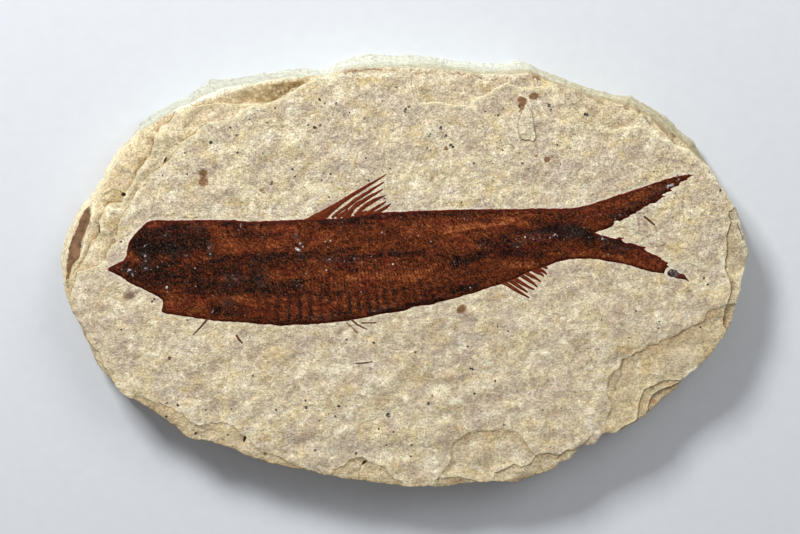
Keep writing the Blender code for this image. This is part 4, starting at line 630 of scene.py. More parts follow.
# Smaller tones: strength, width and line
FISH_TONES = [
    (-0.35, 3.5, [(-57, 1), (-46, -1)]), (-0.3, 3, [(-57, 6), (-49, 6.5)]), (-0.2, 3, [(-40, 6), (-30, 6)]),
    (-0.6, 0.9, [(-56.6, 2.4), (-50, 2.2), (-42, 2.4)]),
    (-0.35, 1.3, [(22, 5), (27, 6), (32, 6.8), (38, 8.4), (41.5, 8)]),
    (-0.35, 1.2, [(0, -6.4), (6, -5), (11, -4)]), (0.35, 0.8, [(-22, -6.6), (-16, -7), (-10, -6.6)]),
    (-0.6, 1.3, [(-58.2, 5.4), (-56, 5.4), (-54, 4.8)]), (-0.5, 0.8, [(-51.5, 4.6), (-49.5, 4.2)]),
    (-0.6, 0.8, [(-45.4, 4.8), (-43.4, 6.2)]), (0.5, 1.1, [(-48.5, 9.4), (-45, 9)]),
    (0.6, 0.35, [(-49.2, 7.2), (-49, 5.2)]), (0.9, 0.35, [(-43.6, 2.6), (-42, 2.7)]),
    (0.5, 0.6, [(-55.2, -0.8), (-54, -1.6)]), (0.6, 0.6, [(-50.4, 0.8), (-49.2, -0.9)]),
    (0.5, 0.5, [(-47.6, -0.4), (-46.4, -1)]), (-0.4, 0.35, [(-60, 6.3), (-58.1, 8.2), (-55.9, 9.9)]),
    (-0.7, 0.5, [(-41.4, -9.6), (-40.4, -8.2)]), (-0.5, 0.6, [(-37.6, -7), (-35.6, -7.8)]),
    (0.9, 0.8, [(-60.8, 3), (-59.6, 3.4), (-58.2, 2.2)]), (0.7, 0.4, [(-53, 2.8), (-50.8, 2.8)]),
    (0.7, 0.5, [(-48.4, 2.3), (-45, 2.4), (-42.3, 2.5)]), (1.2, 0.5, [(-55.4, 9.7), (-53.6, 10.1)]),
    (-0.5, 1.5, [(-62, -0.2), (-58, -1.2), (-54, -2.4)]), (1.6, 0.5, [(-39.8, -1.8), (-39.6, -1.9)]),
    (-0.25, 2.2, [(-56, 0.4), (-50, -1.4), (-45, -1.6)]), (0.6, 0.6, [(-35, 1), (-34.5, -1.6)]),
    (0.3, 1.2, [(-30.6, 1), (-28.6, 0.4), (-27, -1.6)]),
    (-0.4, 1.0, [(-38, 9.4), (-35, 8.4), (-33.4, 7.4)]),
    (-0.4, 0.6, [(-42, 10.5), (-34, 10.2), (-26, 10.4), (-18, 10.8)]),
    (0.75, 0.7, [(-32, 9), (-28, 9.3), (-24, 9.3)]), (-0.5, 0.5, [(-33, 7.9), (-26.7, 7.7)]),
    (0.45, 1.4, [(-20.5, 7), (-17, 7.4), (-14.5, 6.8)]),
    (-1.2, 0.8, [(-17.6, 11), (-12, 11.2), (-6.5, 11.8)]),
    (-0.6, 0.7, [(-6.5, 12.2), (4, 12.4), (14, 12.3)]), (-0.7, 1.0, [(-21, 3), (-16, 2.8), (-11.6, 2.6)]),
    (-0.7, 0.6, [(-11.6, 2.8), (-5.5, 3)]), (-0.95, 0.65, [(-5.5, 3.3), (-1, 3.7), (4, 3.8)]),
    (-0.5, 0.5, [(4.3, 3.8), (7.4, 3.6)]), (-0.9, 1.0, [(10.5, 1.8), (13.5, 3), (16.5, 3.6)]),
    (0.65, 1.0, [(-9.3, 4.9), (-6, 5.4), (-2.9, 5.7)]), (0.6, 1.3, [(0.4, 8), (4, 9.2), (8.4, 9.4)]),
    (1.0, 0.9, [(9.8, 9), (12.5, 9.7), (15.6, 10.4)]),
    (0.9, 0.3, [(9, 8.2), (11, 8.6), (15.7, 9.5), (20.5, 10.1), (23.3, 10.3)]),
    (0.75, 0.8, [(20, 10.8), (23, 11), (26, 10.6)]), (0.4, 0.6, [(25.7, 12.2), (28, 12)]),
    (0.35, 1.8, [(-20, -0.4), (-10, -1), (0, -1), (7, -0.4)]),
    (0.4, 1.0, [(-13, -1.4), (-6, -1.8), (2, -1.6)]), (-0.5, 0.6, [(-16.3, 0.4), (-10.6, 0)]),
    (-0.45, 0.6, [(-26, -5), (-19, -5), (-13, -5)]), (-0.7, 0.9, [(-26, -2.6), (-24, -2.9), (-22.4, -2.9)]),
    (0.5, 0.7, [(-37, -6.2), (-31, -6.6), (-26, -6.4)]),
    (-0.7, 1.2, [(-41.5, -8.2), (-38.5, -8.8), (-36, -9.6)]),
    (-0.6, 0.6, [(-35, -11), (-25, -11.5), (-18, -11.2)]),
    (-0.9, 0.9, [(-15.6, -9.4), (-13.5, -9.6), (-11.8, -9.9)]),
    (-1.1, 0.55, [(-8, -9.5), (-4, -9.1), (-0.3, -8.4)]), (-1.2, 0.6, [(1, -7.9), (4, -7.3), (8.2, -6.6)]),
    (-1.2, 0.7, [(10.7, -4.6), (13, -4), (16, -3.4)]), (0.3, 1.6, [(12, 7), (14.6, 5.6)]),
    (-0.8, 1.2, [(17.4, 6), (19.5, 6.4), (22, 7)]),
    (-1.1, 0.7, [(24, 8.6), (27, 8.5), (30, 8.6), (33, 9.2)]),
    (-1.0, 1.2, [(30.5, 8.4), (34, 9), (38, 8.4), (40, 7.4)]),
    (-0.6, 1.3, [(36.5, 9.6), (39.5, 8), (40, 6.4)]), (-0.9, 1.0, [(20.8, 3.8), (25, 3.6), (29.6, 3.8)]),
    (-0.9, 0.55, [(11, 1), (16.4, 3), (19.3, 4.5)]), (0.9, 0.8, [(22.2, 0.8), (25, 1.2), (27.4, 1.1)]),
    (0.5, 0.6, [(36, 3.3), (40, 3.8), (44, 3.3), (48, 2.3), (54, 0.3)]),
    (-0.5, 0.9, [(41.4, 5.6), (45, 5), (48, 4)]), (-1.2, 0.6, [(43, 6.9), (46, 6.6), (50, 5.2)]),
    (0.45, 0.7, [(43, 13.4), (46.5, 14.3), (50, 15.6), (56, 18)]),
    (-0.9, 0.6, [(44.8, 11.9), (47, 12), (49.4, 13)]), (-0.3, 1.4, [(34, 11.6), (37.6, 12)]),
    (-0.4, 0.8, [(50, 14.4), (54, 16.2)]), (0.3, 0.8, [(50, 3), (54, 1.8)]),
    (-0.3, 0.5, [(46, 4), (50, 3.9), (55, 2)]),
]
# Painted glints, highlights of light on the glossy fish laid on as silvery-white colour: place, size along
# and across, heading, strength
PAINTED_GLINTS = [
    (-23.2, 4.6, 0.95, 0.34, -28, 1.0), (-22.7, 5.9, 0.4, 0.35, 0, 0.6), (-22.1, 5.2, 0.25, 0.25, 0, 0.6),
    (-23.5, 7.8, 0.4, 0.5, 0, 0.35), (-51.8, -3.7, 0.3, 0.45, 0, 1.0), (-51.7, -4.7, 0.2, 0.2, 0, 0.5),
    (-59.9, 0.1, 0.45, 0.3, 0, 0.7), (-60.3, -0.2, 0.2, 0.2, 0, 0.6), (-59.2, -1, 0.2, 0.5, 15, 0.6),
    (-61.6, 0.2, 0.22, 0.2, 0, 0.5), (-56.5, 5.4, 0.2, 0.2, 0, 0.7), (-56.4, 3.2, 0.3, 0.4, 0, 0.6),
    (-56.3, 2, 0.3, 0.25, 0, 0.35), (-56.3, 0.5, 0.6, 0.3, 0, 0.4), (-58.1, 2.4, 0.2, 0.2, 0, 0.5),
    (-53.7, 0.8, 0.2, 0.2, 0, 0.75), (-45.6, 0.5, 0.2, 0.2, 0, 0.8), (-45.5, -3.5, 0.25, 0.2, 0, 0.4),
    (-42.2, 3.6, 0.45, 0.2, 20, 0.5), (-42.5, 5, 0.4, 0.5, 0, 0.3), (-35.6, 9.8, 0.18, 0.6, 0, 0.45),
    (-17, 0.1, 0.45, 0.18, 35, 0.8), (-17.3, 1, 0.2, 0.15, 0, 0.5), (-16.1, 6.5, 0.3, 0.25, 40, 0.75),
    (-17.2, 6.3, 0.18, 0.18, 0, 0.7), (-16.3, 2.4, 0.5, 0.25, 20, 0.4), (-13.1, 2, 0.22, 0.18, 0, 0.6),
    (-10.9, 2.6, 0.3, 0.4, 0, 0.35), (-9.2, 1.8, 0.2, 0.3, 0, 0.35), (-2.5, 1.4, 0.28, 0.24, 0, 0.95),
    (-9.5, -4.7, 0.16, 0.3, 0, 0.6), (3, 7.7, 0.2, 0.2, 0, 0.7), (5.7, 6.3, 0.24, 0.2, 0, 0.8),
    (-4.9, 8.3, 0.22, 0.35, 20, 0.6), (-4.3, 8, 0.2, 0.25, 0, 0.4), (14.3, -3.8, 0.2, 0.2, 0, 0.8),
    (12.3, -2.9, 0.2, 0.15, 0, 0.4), (26.2, 7.3, 0.2, 0.22, 0, 1.0), (-21.5, -0.7, 0.2, 0.18, 0, 0.5),
    (-23.5, -3.4, 0.18, 0.18, 0, 0.5), (-22.2, -3.4, 0.18, 0.18, 0, 0.45), (-27.6, -3.5, 0.25, 0.3, 0, 0.3),
    (-6.8, -9, 0.9, 0.15, 10, 0.35), (-4.4, -8.3, 0.4, 0.15, 15, 0.35), (32.6, 7.8, 0.6, 0.22, 25, 0.6),
    (31.6, 7.2, 0.25, 0.3, 30, 0.5), (33.2, 7.6, 0.2, 0.3, 0, 0.5), (29.4, 7.1, 0.2, 0.2, 0, 0.4),
    (28, 6.8, 0.22, 0.2, 0, 0.4), (24.6, 5.1, 0.5, 0.2, 0, 0.45), (24.2, 6.9, 0.2, 0.2, 0, 0.35),
    (39, 9.3, 0.2, 0.25, 0, 0.45), (43, 6.9, 0.4, 0.4, 0, 0.5), (42.4, 12.2, 0.6, 0.12, 5, 0.25),
    (46.7, 12.1, 0.7, 0.15, 0, 0.35), (44.4, 3.5, 1.4, 0.1, -14, 0.45), (21.6, 1.2, 0.25, 0.18, 0, 0.35),
    (57.2, 18.3, 0.9, 0.4, 25, 0.75), (58, 18.6, 0.5, 0.4, 20, 0.6), (59.4, 19.8, 0.4, 0.25, 20, 0.45),
    (53, 18.3, 0.4, 0.3, 20, 0.3), (52.4, 15.6, 0.5, 0.25, 0, 0.3), (45.7, 11.2, 0.3, 0.3, 0, 0.35),
    (-41.9, -9, 1.1, 0.14, 48, 0.45), (-37.4, -6.1, 0.35, 0.2, 0, 0.25), (-51.9, 7.7, 0.4, 0.5, 0, 0.25),
    (-49.9, 5.4, 0.3, 0.4, 0, 0.25), (-47.5, 3.3, 0.6, 0.3, 0, 0.3), (-36.8, -2, 0.8, 0.5, 20, 0.2),
    (-38.2, -3.2, 0.18, 0.18, 0, 0.3), (-31.6, -1, 0.16, 0.16, 0, 0.3), (-15, -2.7, 0.2, 0.16, 0, 0.35),
]
# Bluish-grey veils on the fish: place, size along and across, heading, strength
VEILS = [
    (-56.4, 3, 1.2, 2.2, 0, 0.5), (-59.7, -0.3, 1.6, 1.1, -20, 0.5), (-56.2, 0.4, 1.6, 0.8, 0, 0.5),
    (-42.3, 4.6, 0.8, 1.8, 0, 0.7), (-47.6, 3.3, 1.4, 0.6, 0, 0.6), (-50, 3.4, 1.0, 0.8, 0, 0.6),
    (-51.6, 7.6, 1.4, 0.8, 0, 0.4), (-44.6, 9.4, 2.4, 0.9, 0, 0.3), (-37.4, -2, 3.0, 1.6, 10, 0.5),
    (-31, -1.6, 1.8, 3.0, 0, 0.4), (-23.3, 7.6, 1.0, 1.4, 0, 0.8), (-22.8, 3.2, 1.2, 0.9, 0, 0.5),
    (-15.6, 2.2, 3.0, 1.0, 0, 0.45), (-10.8, 2.4, 2.0, 1.0, 0, 0.5), (-15.4, 11, 2.4, 0.5, 0, 0.5),
    (-39, -7, 1.6, 1.6, 40, 0.4), (29, 7.4, 5.0, 1.3, 8, 0.45), (36, 8.4, 3.2, 1.8, 0, 0.4),
    (43.2, 6.8, 1.2, 0.6, -10, 0.7), (55.6, 17.6, 3.4, 0.9, 22, 0.5), (49, 14.2, 3.0, 0.9, 22, 0.35),
    (46, 5, 3.4, 0.6, -15, 0.35), (24.4, 5.4, 1.6, 0.9, 0, 0.45), (14.4, -3.5, 1.8, 0.7, 20, 0.35),
    (-18, -10.4, 3.0, 0.9, 0, 0.4), (-5, -8.6, 3.0, 0.5, 12, 0.5), (45.6, 12, 2.0, 0.4, 0, 0.4),
]


def srgb(red, green, blue):
    """A colour's light, from how it looks on a screen in parts of 255."""
    shades = (red, green, blue)
    return tuple(((c / 255 + 0.055) / 1.055) ** 2.4 if c > 10 else c / 3294 for c in shades) + (1.0,)


# Plane geometry on arrays of points

def on_face(places):
    """Places drawn as the tilted view shows them, put where they lie on the face."""
    places = np.asarray(places, float)
    return places * (1 - VIEW_GROWTH * places[:, 1:2])


def as_seen(points, depth):
    """Where the tilted view shows points that lie at this depth below the face."""
    tilt = math.radians(CAMERA_TILT)
    growth = 1 + VIEW_GROWTH * points[:, 1] - depth / CAMERA_DISTANCE
    return np.c_[points[:, 0] * growth, (points[:, 1] + depth * math.tan(tilt)) * growth]


def resample(points, step, closed):
    """The same line with its long stretches cut into pieces no longer than step."""
    ends = points[1:] + points[:1] if closed else points[1:]
    out = []
    for a, b in zip(points, ends):
        count = max(1, math.ceil(math.dist(a, b) / step))
        out += [(a[0] + (b[0] - a[0]) * k / count, a[1] + (b[1] - a[1]) * k / count) for k in range(count)]
    return np.array(out if closed else out + [points[-1]], float)


def rounded(outline):
    """The fish's outline with its corners cut twice, but for its snout and tail."""
    for _ in range(2):
        out = []
        for before, at, after in zip(outline[-1:] + outline[:-1], outline, outline[1:] + outline[:1]):
            if not ROUNDED_FROM < at[0] < ROUNDED_TO:
                out.append(at)
                continue
            for other in (before, after):
                share = min(CORNER_SHARE, CORNER_REACH / max(math.dist(at, other), 1e-6))
                out.append((at[0] + (other[0] - at[0]) * share, at[1] + (other[1] - at[1]) * share))
        outline = out
    return outline


def roughened(line, large, small, seed):
    """A line with its points moved about, as a broken edge runs."""
    line = np.asarray(line, float)
    out = []
    for x, y in line:
        wide = noise.noise_vector(Vector((x / 3.1, y / 3.1, seed)))
        fine = noise.noise_vector(Vector((x / 0.9, y / 0.9, seed + 7)))
        out.append((x + large * wide.x + small * fine.x, y + large * wide.y + small * fine.y))
    return np.array(out)


def distance_to(points, line, closed=False, reach=6.0):
    """Distance from each point to a line of straight stretches, up to reach."""
    line = np.asarray(line, float)
    starts = line if closed else line[:-1]
    ends = np.roll(line, -1, axis=0) if closed else line[1:]
    order = np.argsort(points[:, 0])
    spots = points[order]
    best = np.full(len(points), float(reach))
    for start, end in zip(starts, ends):
        left, right = min(start[0], end[0]) - reach, max(start[0], end[0]) + reach
        first, last = np.searchsorted(spots[:, 0], (left, right))
        near = spots[first:last]
        run = end - start
        along = np.clip((near - start) @ run / max(run @ run, 1e-12), 0, 1)
        gap = np.linalg.norm(near - start - along[:, None] * run, axis=1)
        best[first:last] = np.minimum(best[first:last], gap)
    out = np.empty_like(best)
    out[order] = best
    return out


def inside(points, outline):
    """Whether each point lies within a closed outline."""
    outline = np.asarray(outline, float)
    hit = np.zeros(len(points), bool)
    for a, b in zip(outline, np.roll(outline, -1, axis=0)):
        crosses = (a[1] > points[:, 1]) != (b[1] > points[:, 1])
        rise = b[1] - a[1] if b[1] != a[1] else 1e-12
        hit ^= crosses & (points[:, 0] < (b[0] - a[0]) * (points[:, 1] - a[1]) / rise + a[0])
    return hit


def offset(line, amount, closed):
    """The line moved to its left by amount, with mitred corners."""
    line = np.asarray(line, float)
    before = np.roll(line, 1, axis=0)
    after = np.roll(line, -1, axis=0)
    if not closed:
        before[0] = line[0] - (line[1] - line[0])
        after[-1] = line[-1] + (line[-1] - line[-2])

    def left(run):
        return np.c_[-run[:, 1], run[:, 0]] / np.maximum(np.linalg.norm(run, axis=1), 1e-9)[:, None]

    first, second = left(line - before), left(after - line)
    middle = first + second
    middle /= np.maximum(np.linalg.norm(middle, axis=1), 1e-9)[:, None]
    stretch = 1 / np.clip((middle * first).sum(axis=1), 0.6, 1)
    return line + middle * (amount * stretch)[:, None]


def counter_clockwise(outline):
    """The same outline, turned round where it runs clockwise."""
    outline = np.asarray(outline, float)
    after = np.roll(outline, -1, axis=0)
    area = (outline[:, 0] * after[:, 1] - after[:, 0] * outline[:, 1]).sum()
    return outline if area > 0 else outline[::-1]


def turned(points, heading):
    """How far points lie along a heading in degrees, and how far to its left."""
    turn = math.radians(heading)
    along = points[:, 0] * math.cos(turn) + points[:, 1] * math.sin(turn)
    return along, points[:, 1] * math.cos(turn) - points[:, 0] * math.sin(turn)


def swell(points, size, seed, stretch=1.0, lean=GRAIN_LEAN):
    """Smooth noise over the plane, about -1 to 1, with its bumps longer along the lean."""
    along, across = turned(points, lean)
    spots = zip(along / (size * stretch), across / size)
    return np.array([noise.noise((u, v, seed)) for u, v in spots])


def blob(points, x, y, long, short, heading):
    """1 at a place, falling to 0 at the edge of an oval round it and below 0 outside."""
    along, across = turned(points - (x, y), heading)
    return 1 - np.hypot(along / long, across / short)


def fade(gap, width):
    """1 on a line, and softly down to nothing at about twice the width from it."""
    return np.exp(-(gap / width) ** 2)


def climb(value, start, run):
    """0 up to a start, 1 from a run beyond it, and evenly up between them."""
    return np.clip((value - start) / run, 0, 1)


def marks(points, places):
    """How strongly a list of soft-edged oval marks colours each point."""
    total = np.zeros(len(points))
    for *place, strength in places:
        total = np.maximum(total, strength * np.clip(1.7 * blob(points, *place) + 0.25, 0, 1))
    return total


def strokes(points, tones):
    """The sum of soft-edged strokes, each given as its strength, width and line."""
    total = np.zeros(len(points))
    for strength, width, line in tones:
        total += strength * fade(distance_to(points, line, False, 3 * width), width)
    return total


def hex_points(outline, spacing):
    """Points in staggered rows over the box round an outline."""
    low, high = np.min(outline, axis=0), np.max(outline, axis=0)
    rows = []
    for row, y in enumerate(np.arange(low[1], high[1], spacing * math.sqrt(3) / 2)):
        xs = np.arange(low[0] + (spacing / 2 if row % 2 else 0.0), high[0], spacing)
        rows.append(np.c_[xs, np.full(len(xs), y)])
    return np.concatenate(rows)


def rings(places, shares, corners):
    """Points round each place, at shares of its size, so that small marks keep their shape."""
    turns = math.tau * np.arange(corners) / corners
    circle = np.c_[np.cos(turns), np.sin(turns)]
    return np.concatenate([
        np.array([x, y]) + size * share * circle for x, y, size in places for share in shares])


def triangulate(outline, lines, field, spacing):
    """Points and triangles over an outline that keep every given line as edges."""
    keep = inside(field, outline) & (distance_to(field, outline, True, 2) > 0.55 * spacing)
    for line, closed in lines:
        keep &= distance_to(field, line, closed, 2) > 0.45 * spacing
    points = [tuple(p) for p in outline]
    edges = [(i, (i + 1) % len(outline)) for i in range(len(outline))]
    for line, closed in lines:
        start = len(points)
        points += [tuple(p) for p in line]
        edges += [(start + i, start + i + 1) for i in range(len(line) - 1)]
        if closed:
            edges.append((len(points) - 1, start))
    points += [tuple(p) for p in field[keep]]
    flat, _, faces, *_ = delaunay_2d_cdt([Vector(p) for p in points], edges, [], 1, 1e-4, False)
    flat = np.array([tuple(p) for p in flat])
    faces = np.array(faces)
    faces = faces[inside(flat[faces].mean(axis=1), outline)]
    used, faces = np.unique(faces, return_inverse=True)
    return flat[used], faces.reshape(-1, 3)


def boundary(faces):
    """The outer edge of a sheet of anticlockwise triangles, as vertex numbers in order."""
    sides = {(a, b) for f in faces.tolist() for a, b in ((f[0], f[1]), (f[1], f[2]), (f[2], f[0]))}
    following = {a: b for a, b in sides if (b, a) not in sides}
    first = min(following)
    loop = [first]
    while following[loop[-1]] != first:
        loop.append(following[loop[-1]])
    return np.array(loop)


def wall(above, below):
    """The faces between two rings of points, given by their numbers."""
    return np.c_[above, below, np.roll(below, -1), np.roll(above, -1)].tolist()


def thick_sheet(flat, faces, height, bottom):
    """Points and faces of a sheet with an upright edge and a flat underside, and its upper edge."""
    loop = boundary(faces)
    below = np.arange(len(loop)) + len(flat)
    faces = faces.tolist() + wall(loop, below)
    faces.append(below[::-1].tolist())
    spots = np.r_[np.c_[flat, height], np.c_[flat[loop], np.full(len(loop), bottom)]]
    return spots, faces, loop


# Objects

def make_object(name, spots, faces, finish, fields, sharp):
    """An object from points in drawing millimetres, with a number on each point for every field."""
    mesh = bpy.data.meshes.new(name)
    spots = (np.asarray(spots, float) + (*FACE_MIDDLE, 0)) * MM
    mesh.from_pydata(spots.tolist(), [], [list(face) for face in faces])
    mesh.validate()
    for field, values in fields.items():
        numbers = mesh.attributes.new(field, "FLOAT", "POINT").data
        numbers.foreach_set("value", np.asarray(values, np.float32))
    mesh.shade_smooth()
    mesh.set_sharp_from_angle(angle=math.radians(sharp))
    mesh.materials.append(finish)
    obj = bpy.data.objects.new(name, mesh)
    bpy.context.scene.collection.objects.link(obj)
    return obj


def part_of(obj, slot, *nodes):
    """Fastens an object to the still part and hides the imported parts of the nodes that it stands for; its
    slot is not used.
    """
    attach(obj, "root")
    if nodes:
        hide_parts(*nodes)


# The slab's shape

def rough_ledges():
    """Each ledge with its edge broken up, and its lip and foot as lines for the mesh."""
    out = []
    for number, ledge in enumerate(LEDGES):
        lip = on_face(roughened(resample(ledge["edge"], LINE_STEP, False), 0.5, 0.3, number * 3.3))
        ground = np.r_[lip, ledge["around"]]
        foot = offset(lip, LEDGE_RUN, False)
        if inside(foot, ground).mean() < 0.5:
            foot = offset(lip, -LEDGE_RUN, False)
        out.append(dict(ledge, lip=lip, foot=foot, ground=ground))
    return out


def ledge_fields(points, ledges):
    """How far the ledges lower each point, and their lines and tints: painted shadow and shade at the feet,
    painted highlights on the lips.
    """
    depth, dark, pale, warm, broken, soft = (np.zeros(len(points)) for _ in range(6))
    for ledge in ledges:
        away = distance_to(points, ledge["lip"], False, 20)
        further = np.clip(np.maximum(away - LEDGE_RUN, 0) * ledge["slope"], -ledge["most"], ledge["most"])
        ground = inside(points, ledge["ground"])
        depth += ground * climb(away, 0, LEDGE_RUN) * (ledge["drop"] + further)
        foot = distance_to(points, ledge["foot"], False, 2)
        on_edge = away < 0.1
        # A painted shadow line at the foot, soft painted shade below it (partly brown stain), and a painted
        # highlight along the lip
        dark = np.maximum(dark, ledge["dark"] * fade(foot, FOOT_LINE) * (ground | on_edge))
        soft = np.maximum(soft, min(1, 1.2 * ledge["dark"]) * fade(foot, FOOT_SHADE) * ground)
        pale = np.maximum(pale, ledge["pale"] * fade(away, LIP_LINE) * (~ground | on_edge))
        warm = np.maximum(warm, ledge["warm"] * ground * climb(away, 0, 0.8))
        broken = np.maximum(broken, ground * climb(away, LEDGE_RUN, 1.2))
    return depth, dark, pale, warm, broken, soft


def groove_lines():
    """The grooves with their strengths, and their lines broken up."""
    return [
        (*strengths, on_face(roughened(resample(line, LINE_STEP, False), 0.4, 0.16, 50)))
        for *strengths, line in GROOVES]


def pit_rings():
    """Two rings round each pit, as lines for the mesh."""
    turns = math.tau * np.arange(12) / 12
    out = []
    for x, y, long, short, heading, _ in PITS:
        oval = np.c_[long * np.cos(turns), short * np.sin(turns)]
        ring = np.stack(turned(oval, -heading), axis=1)
        out += [(on_face((x, y) + share * ring), True) for share in (1.0, 0.55)]
    return out


def fossil_distance(points, reach):
    """Distance from each point to the nearest piece of the fossil, up to reach, and 0 within the body."""
    bits = [(FISH_OUTLINE, True), (TAIL_TIP, True)]
    rays = DORSAL_RAYS + ANAL_RAYS + PAIRED_RAYS + [LOOSE_RAY, RIB_SPLINTER, NEEDLE]
    bits += [(ray, False) for ray in rays]
    away = np.min([distance_to(points, line, closed, reach) for line, closed in bits], axis=0)
    return np.where(inside(points, FISH_OUTLINE), 0, away)


def add_swells(height, points, away, broken):
    """Raises and lowers the face by its swells, calm near the fish, and rougher on the ledges' ground."""
    large = climb(away, LARGE_FLAT, LARGE_REACH)
    small = climb(away, SMALL_FLAT, SMALL_REACH)
    for size, rise, seed, stretch in SWELLS:
        height += rise * (large if size > LARGE_SWELL else small) * swell(points, size, seed, stretch)
    lower = np.interp(points[:, 1], GROUND_Y, (LOWER_SHARE, 1))
    for size, rise, seed in GROUND_SWELLS:
        height += rise * broken * lower * swell(points, size, seed, GROUND_STRETCH, GROUND_LEAN)


def crystal_field(seen, to_rim):
    """How strongly the grains of crystal show at each point of the upper left hollow."""
    hollow = inside(seen, HOLLOW["edge"] + HOLLOW["around"])
    crystal = hollow * climb(distance_to(seen, HOLLOW["edge"]), 0, 0.6)
    from_middle = np.abs(seen[:, 0] - CRYSTAL_MIDDLE) / CRYSTAL_REACH
    return crystal * (np.clip(1.6 - from_middle, 0, 1) * climb(to_rim, 0.3, 0.6))


def facet_field(seen):
    """1 on the brown-stained facet, falling to 0 over its soft edge."""
    within = np.where(inside(seen, LEFT_FACET), 1, -1)
    return np.clip(0.6 + within * distance_to(seen, LEFT_FACET, True) / FACET_SOFT, 0, 1)


def speck_field(upright):
    """1 on the dark specks, falling to 0 round them."""
    specks = np.zeros(len(upright))
    for x, y, size in SPECKS:
        specks = np.maximum(specks, np.clip(2.2 * (1.25 - np.hypot(*(upright - (x, y)).T) / size), 0, 1))
    return specks


def face_fields(points, rim, ledges, grooves):
    """The face's height at each point, and every tint that its finish reads."""
    depth, dark, pale, warm, broken, soft = ledge_fields(points, ledges)
    away = fossil_distance(points, 7)
    to_rim = distance_to(points, rim, True, 6)
    height = FACE_HEIGHT - depth
    add_swells(height, points, away, broken)
    seen = as_seen(points, depth)
    for x, y, long, short, rise in MOUNDS:
        height += rise * np.clip(blob(seen, x, y, 2 * long, 2 * short, GRAIN_LEAN), 0, 1) ** 1.5
    crystal = crystal_field(seen, to_rim)
    height += CRYSTAL_RISE * crystal * swell(points, CRYSTAL_SIZE, 61.5)
    brown = marks(seen, BROWN_STAINS)
    for groove, strength, stain, line in grooves:
        gap = distance_to(points, line, False, 2)
        height -= groove * np.clip(1 - gap / GROOVE_RUN, 0, 1)
        dark = np.maximum(dark, strength * fade(gap, GROOVE_LINE))
        brown = np.maximum(brown, stain * np.clip(1.3 - gap / GROOVE_STAIN, 0, 1))
    upright = points * (1 + VIEW_GROWTH * points[:, 1:2])
    # Pits: lowered, and painted dark inside as painted shade
    for x, y, long, short, heading, deep in PITS:
        hole = np.clip(2.2 * blob(upright, x, y, long, short, heading), 0, 1)
        height -= deep * hole
        dark = np.maximum(dark, 1.3 * hole)
    flake_edge = distance_to(upright, FLAKE, True, 2)
    flake = inside(upright, FLAKE)
    height += FLAKE_HEIGHT * np.where(flake, 1, np.clip(1 - flake_edge / FLAKE_RUN, 0, 1))
    # The flake's dark outline, partly painted shadow on its side away from the light
    heavy = np.interp(points[:, 0], FLAKE_LINE_X, FLAKE_LINE_STRENGTH)
    dark = np.maximum(dark, heavy * fade(flake_edge - FLAKE_LINE_PLACE, FLAKE_LINE_WIDTH) * ~flake)
    lower = np.interp(points[:, 1], WEAR_Y, (LOWER_SHARE, 1))
    height -= lower * RIM_WEAR * np.exp(-to_rim / RIM_WEAR_REACH)
    soft = np.maximum(soft, fade(to_rim, 0.35) * np.clip(-(points[:, 1] + 4) / 8, 0, 1))
    pocket = offset(counter_clockwise(FISH_OUTLINE), POCKET_INSET, True)
    height = np.where(inside(points, pocket), FACE_HEIGHT - POCKET_DEPTH, height)
    # dark holds painted shadow lines and dark cracks, pale painted highlights and pale spots, soft painted
    # shade partly stain, strokes painted shade and highlights partly the stone's tints
    fields = dict(
        dark=dark, pale=np.maximum(pale, marks(seen, PALE_SPOTS_AND_HIGHLIGHTS)), warm=warm, soft=soft, crystal=crystal,
        brown=brown, facet=facet_field(seen), violet=marks(seen, VIOLET_STAINS), flake=flake,
        rosy=marks(seen, ROSY_STAINS), ochre=marks(seen, OCHRE_STAINS), specks=speck_field(upright),
        strokes=strokes(seen, STONE_TONE_AND_LIGHT_STROKES), side=np.zeros(len(points)),
        cut=fade(fossil_distance(points, 2), CUT_LINE) * (away > 0.02))
    return height, fields


def rough_edge(outline):
    """An outline of the slab, broken up."""
    return roughened(resample(outline, LINE_STEP, True), 0.35, 0.22, 70)


def side_radius(outline, angles):
    """How far an outline stands from the middle at each angle of a circle squeezed to the oval."""
    squeezed = np.asarray(outline, float) * (1, OVAL)
    spots = np.arctan2(squeezed[:, 1], squeezed[:, 0])
    order = np.argsort(spots)
    return np.interp(angles, spots[order], np.hypot(*squeezed[order].T), period=math.tau)


def bed_back(x, y, height):
    """How far the broken edge of the bed at this height stands back."""
    level = height + BED_WAVE * noise.noise((x / BED_WAVE_LENGTH, y / BED_WAVE_LENGTH, 0.0))
    bed = sum(level > edge for edge in BEDS)
    swing = noise.noise((x / BED_SWING + 17 * bed, y / BED_SWING, 5.3 * bed))
    chips = noise.noise((x / CHIP_SIZE, y / CHIP_SIZE, 3.1 * bed))
    return BED_RELIEF * (0.5 + 0.5 * max(-1.0, min(1.0, 2 * swing))) + CHIP_RELIEF * chips


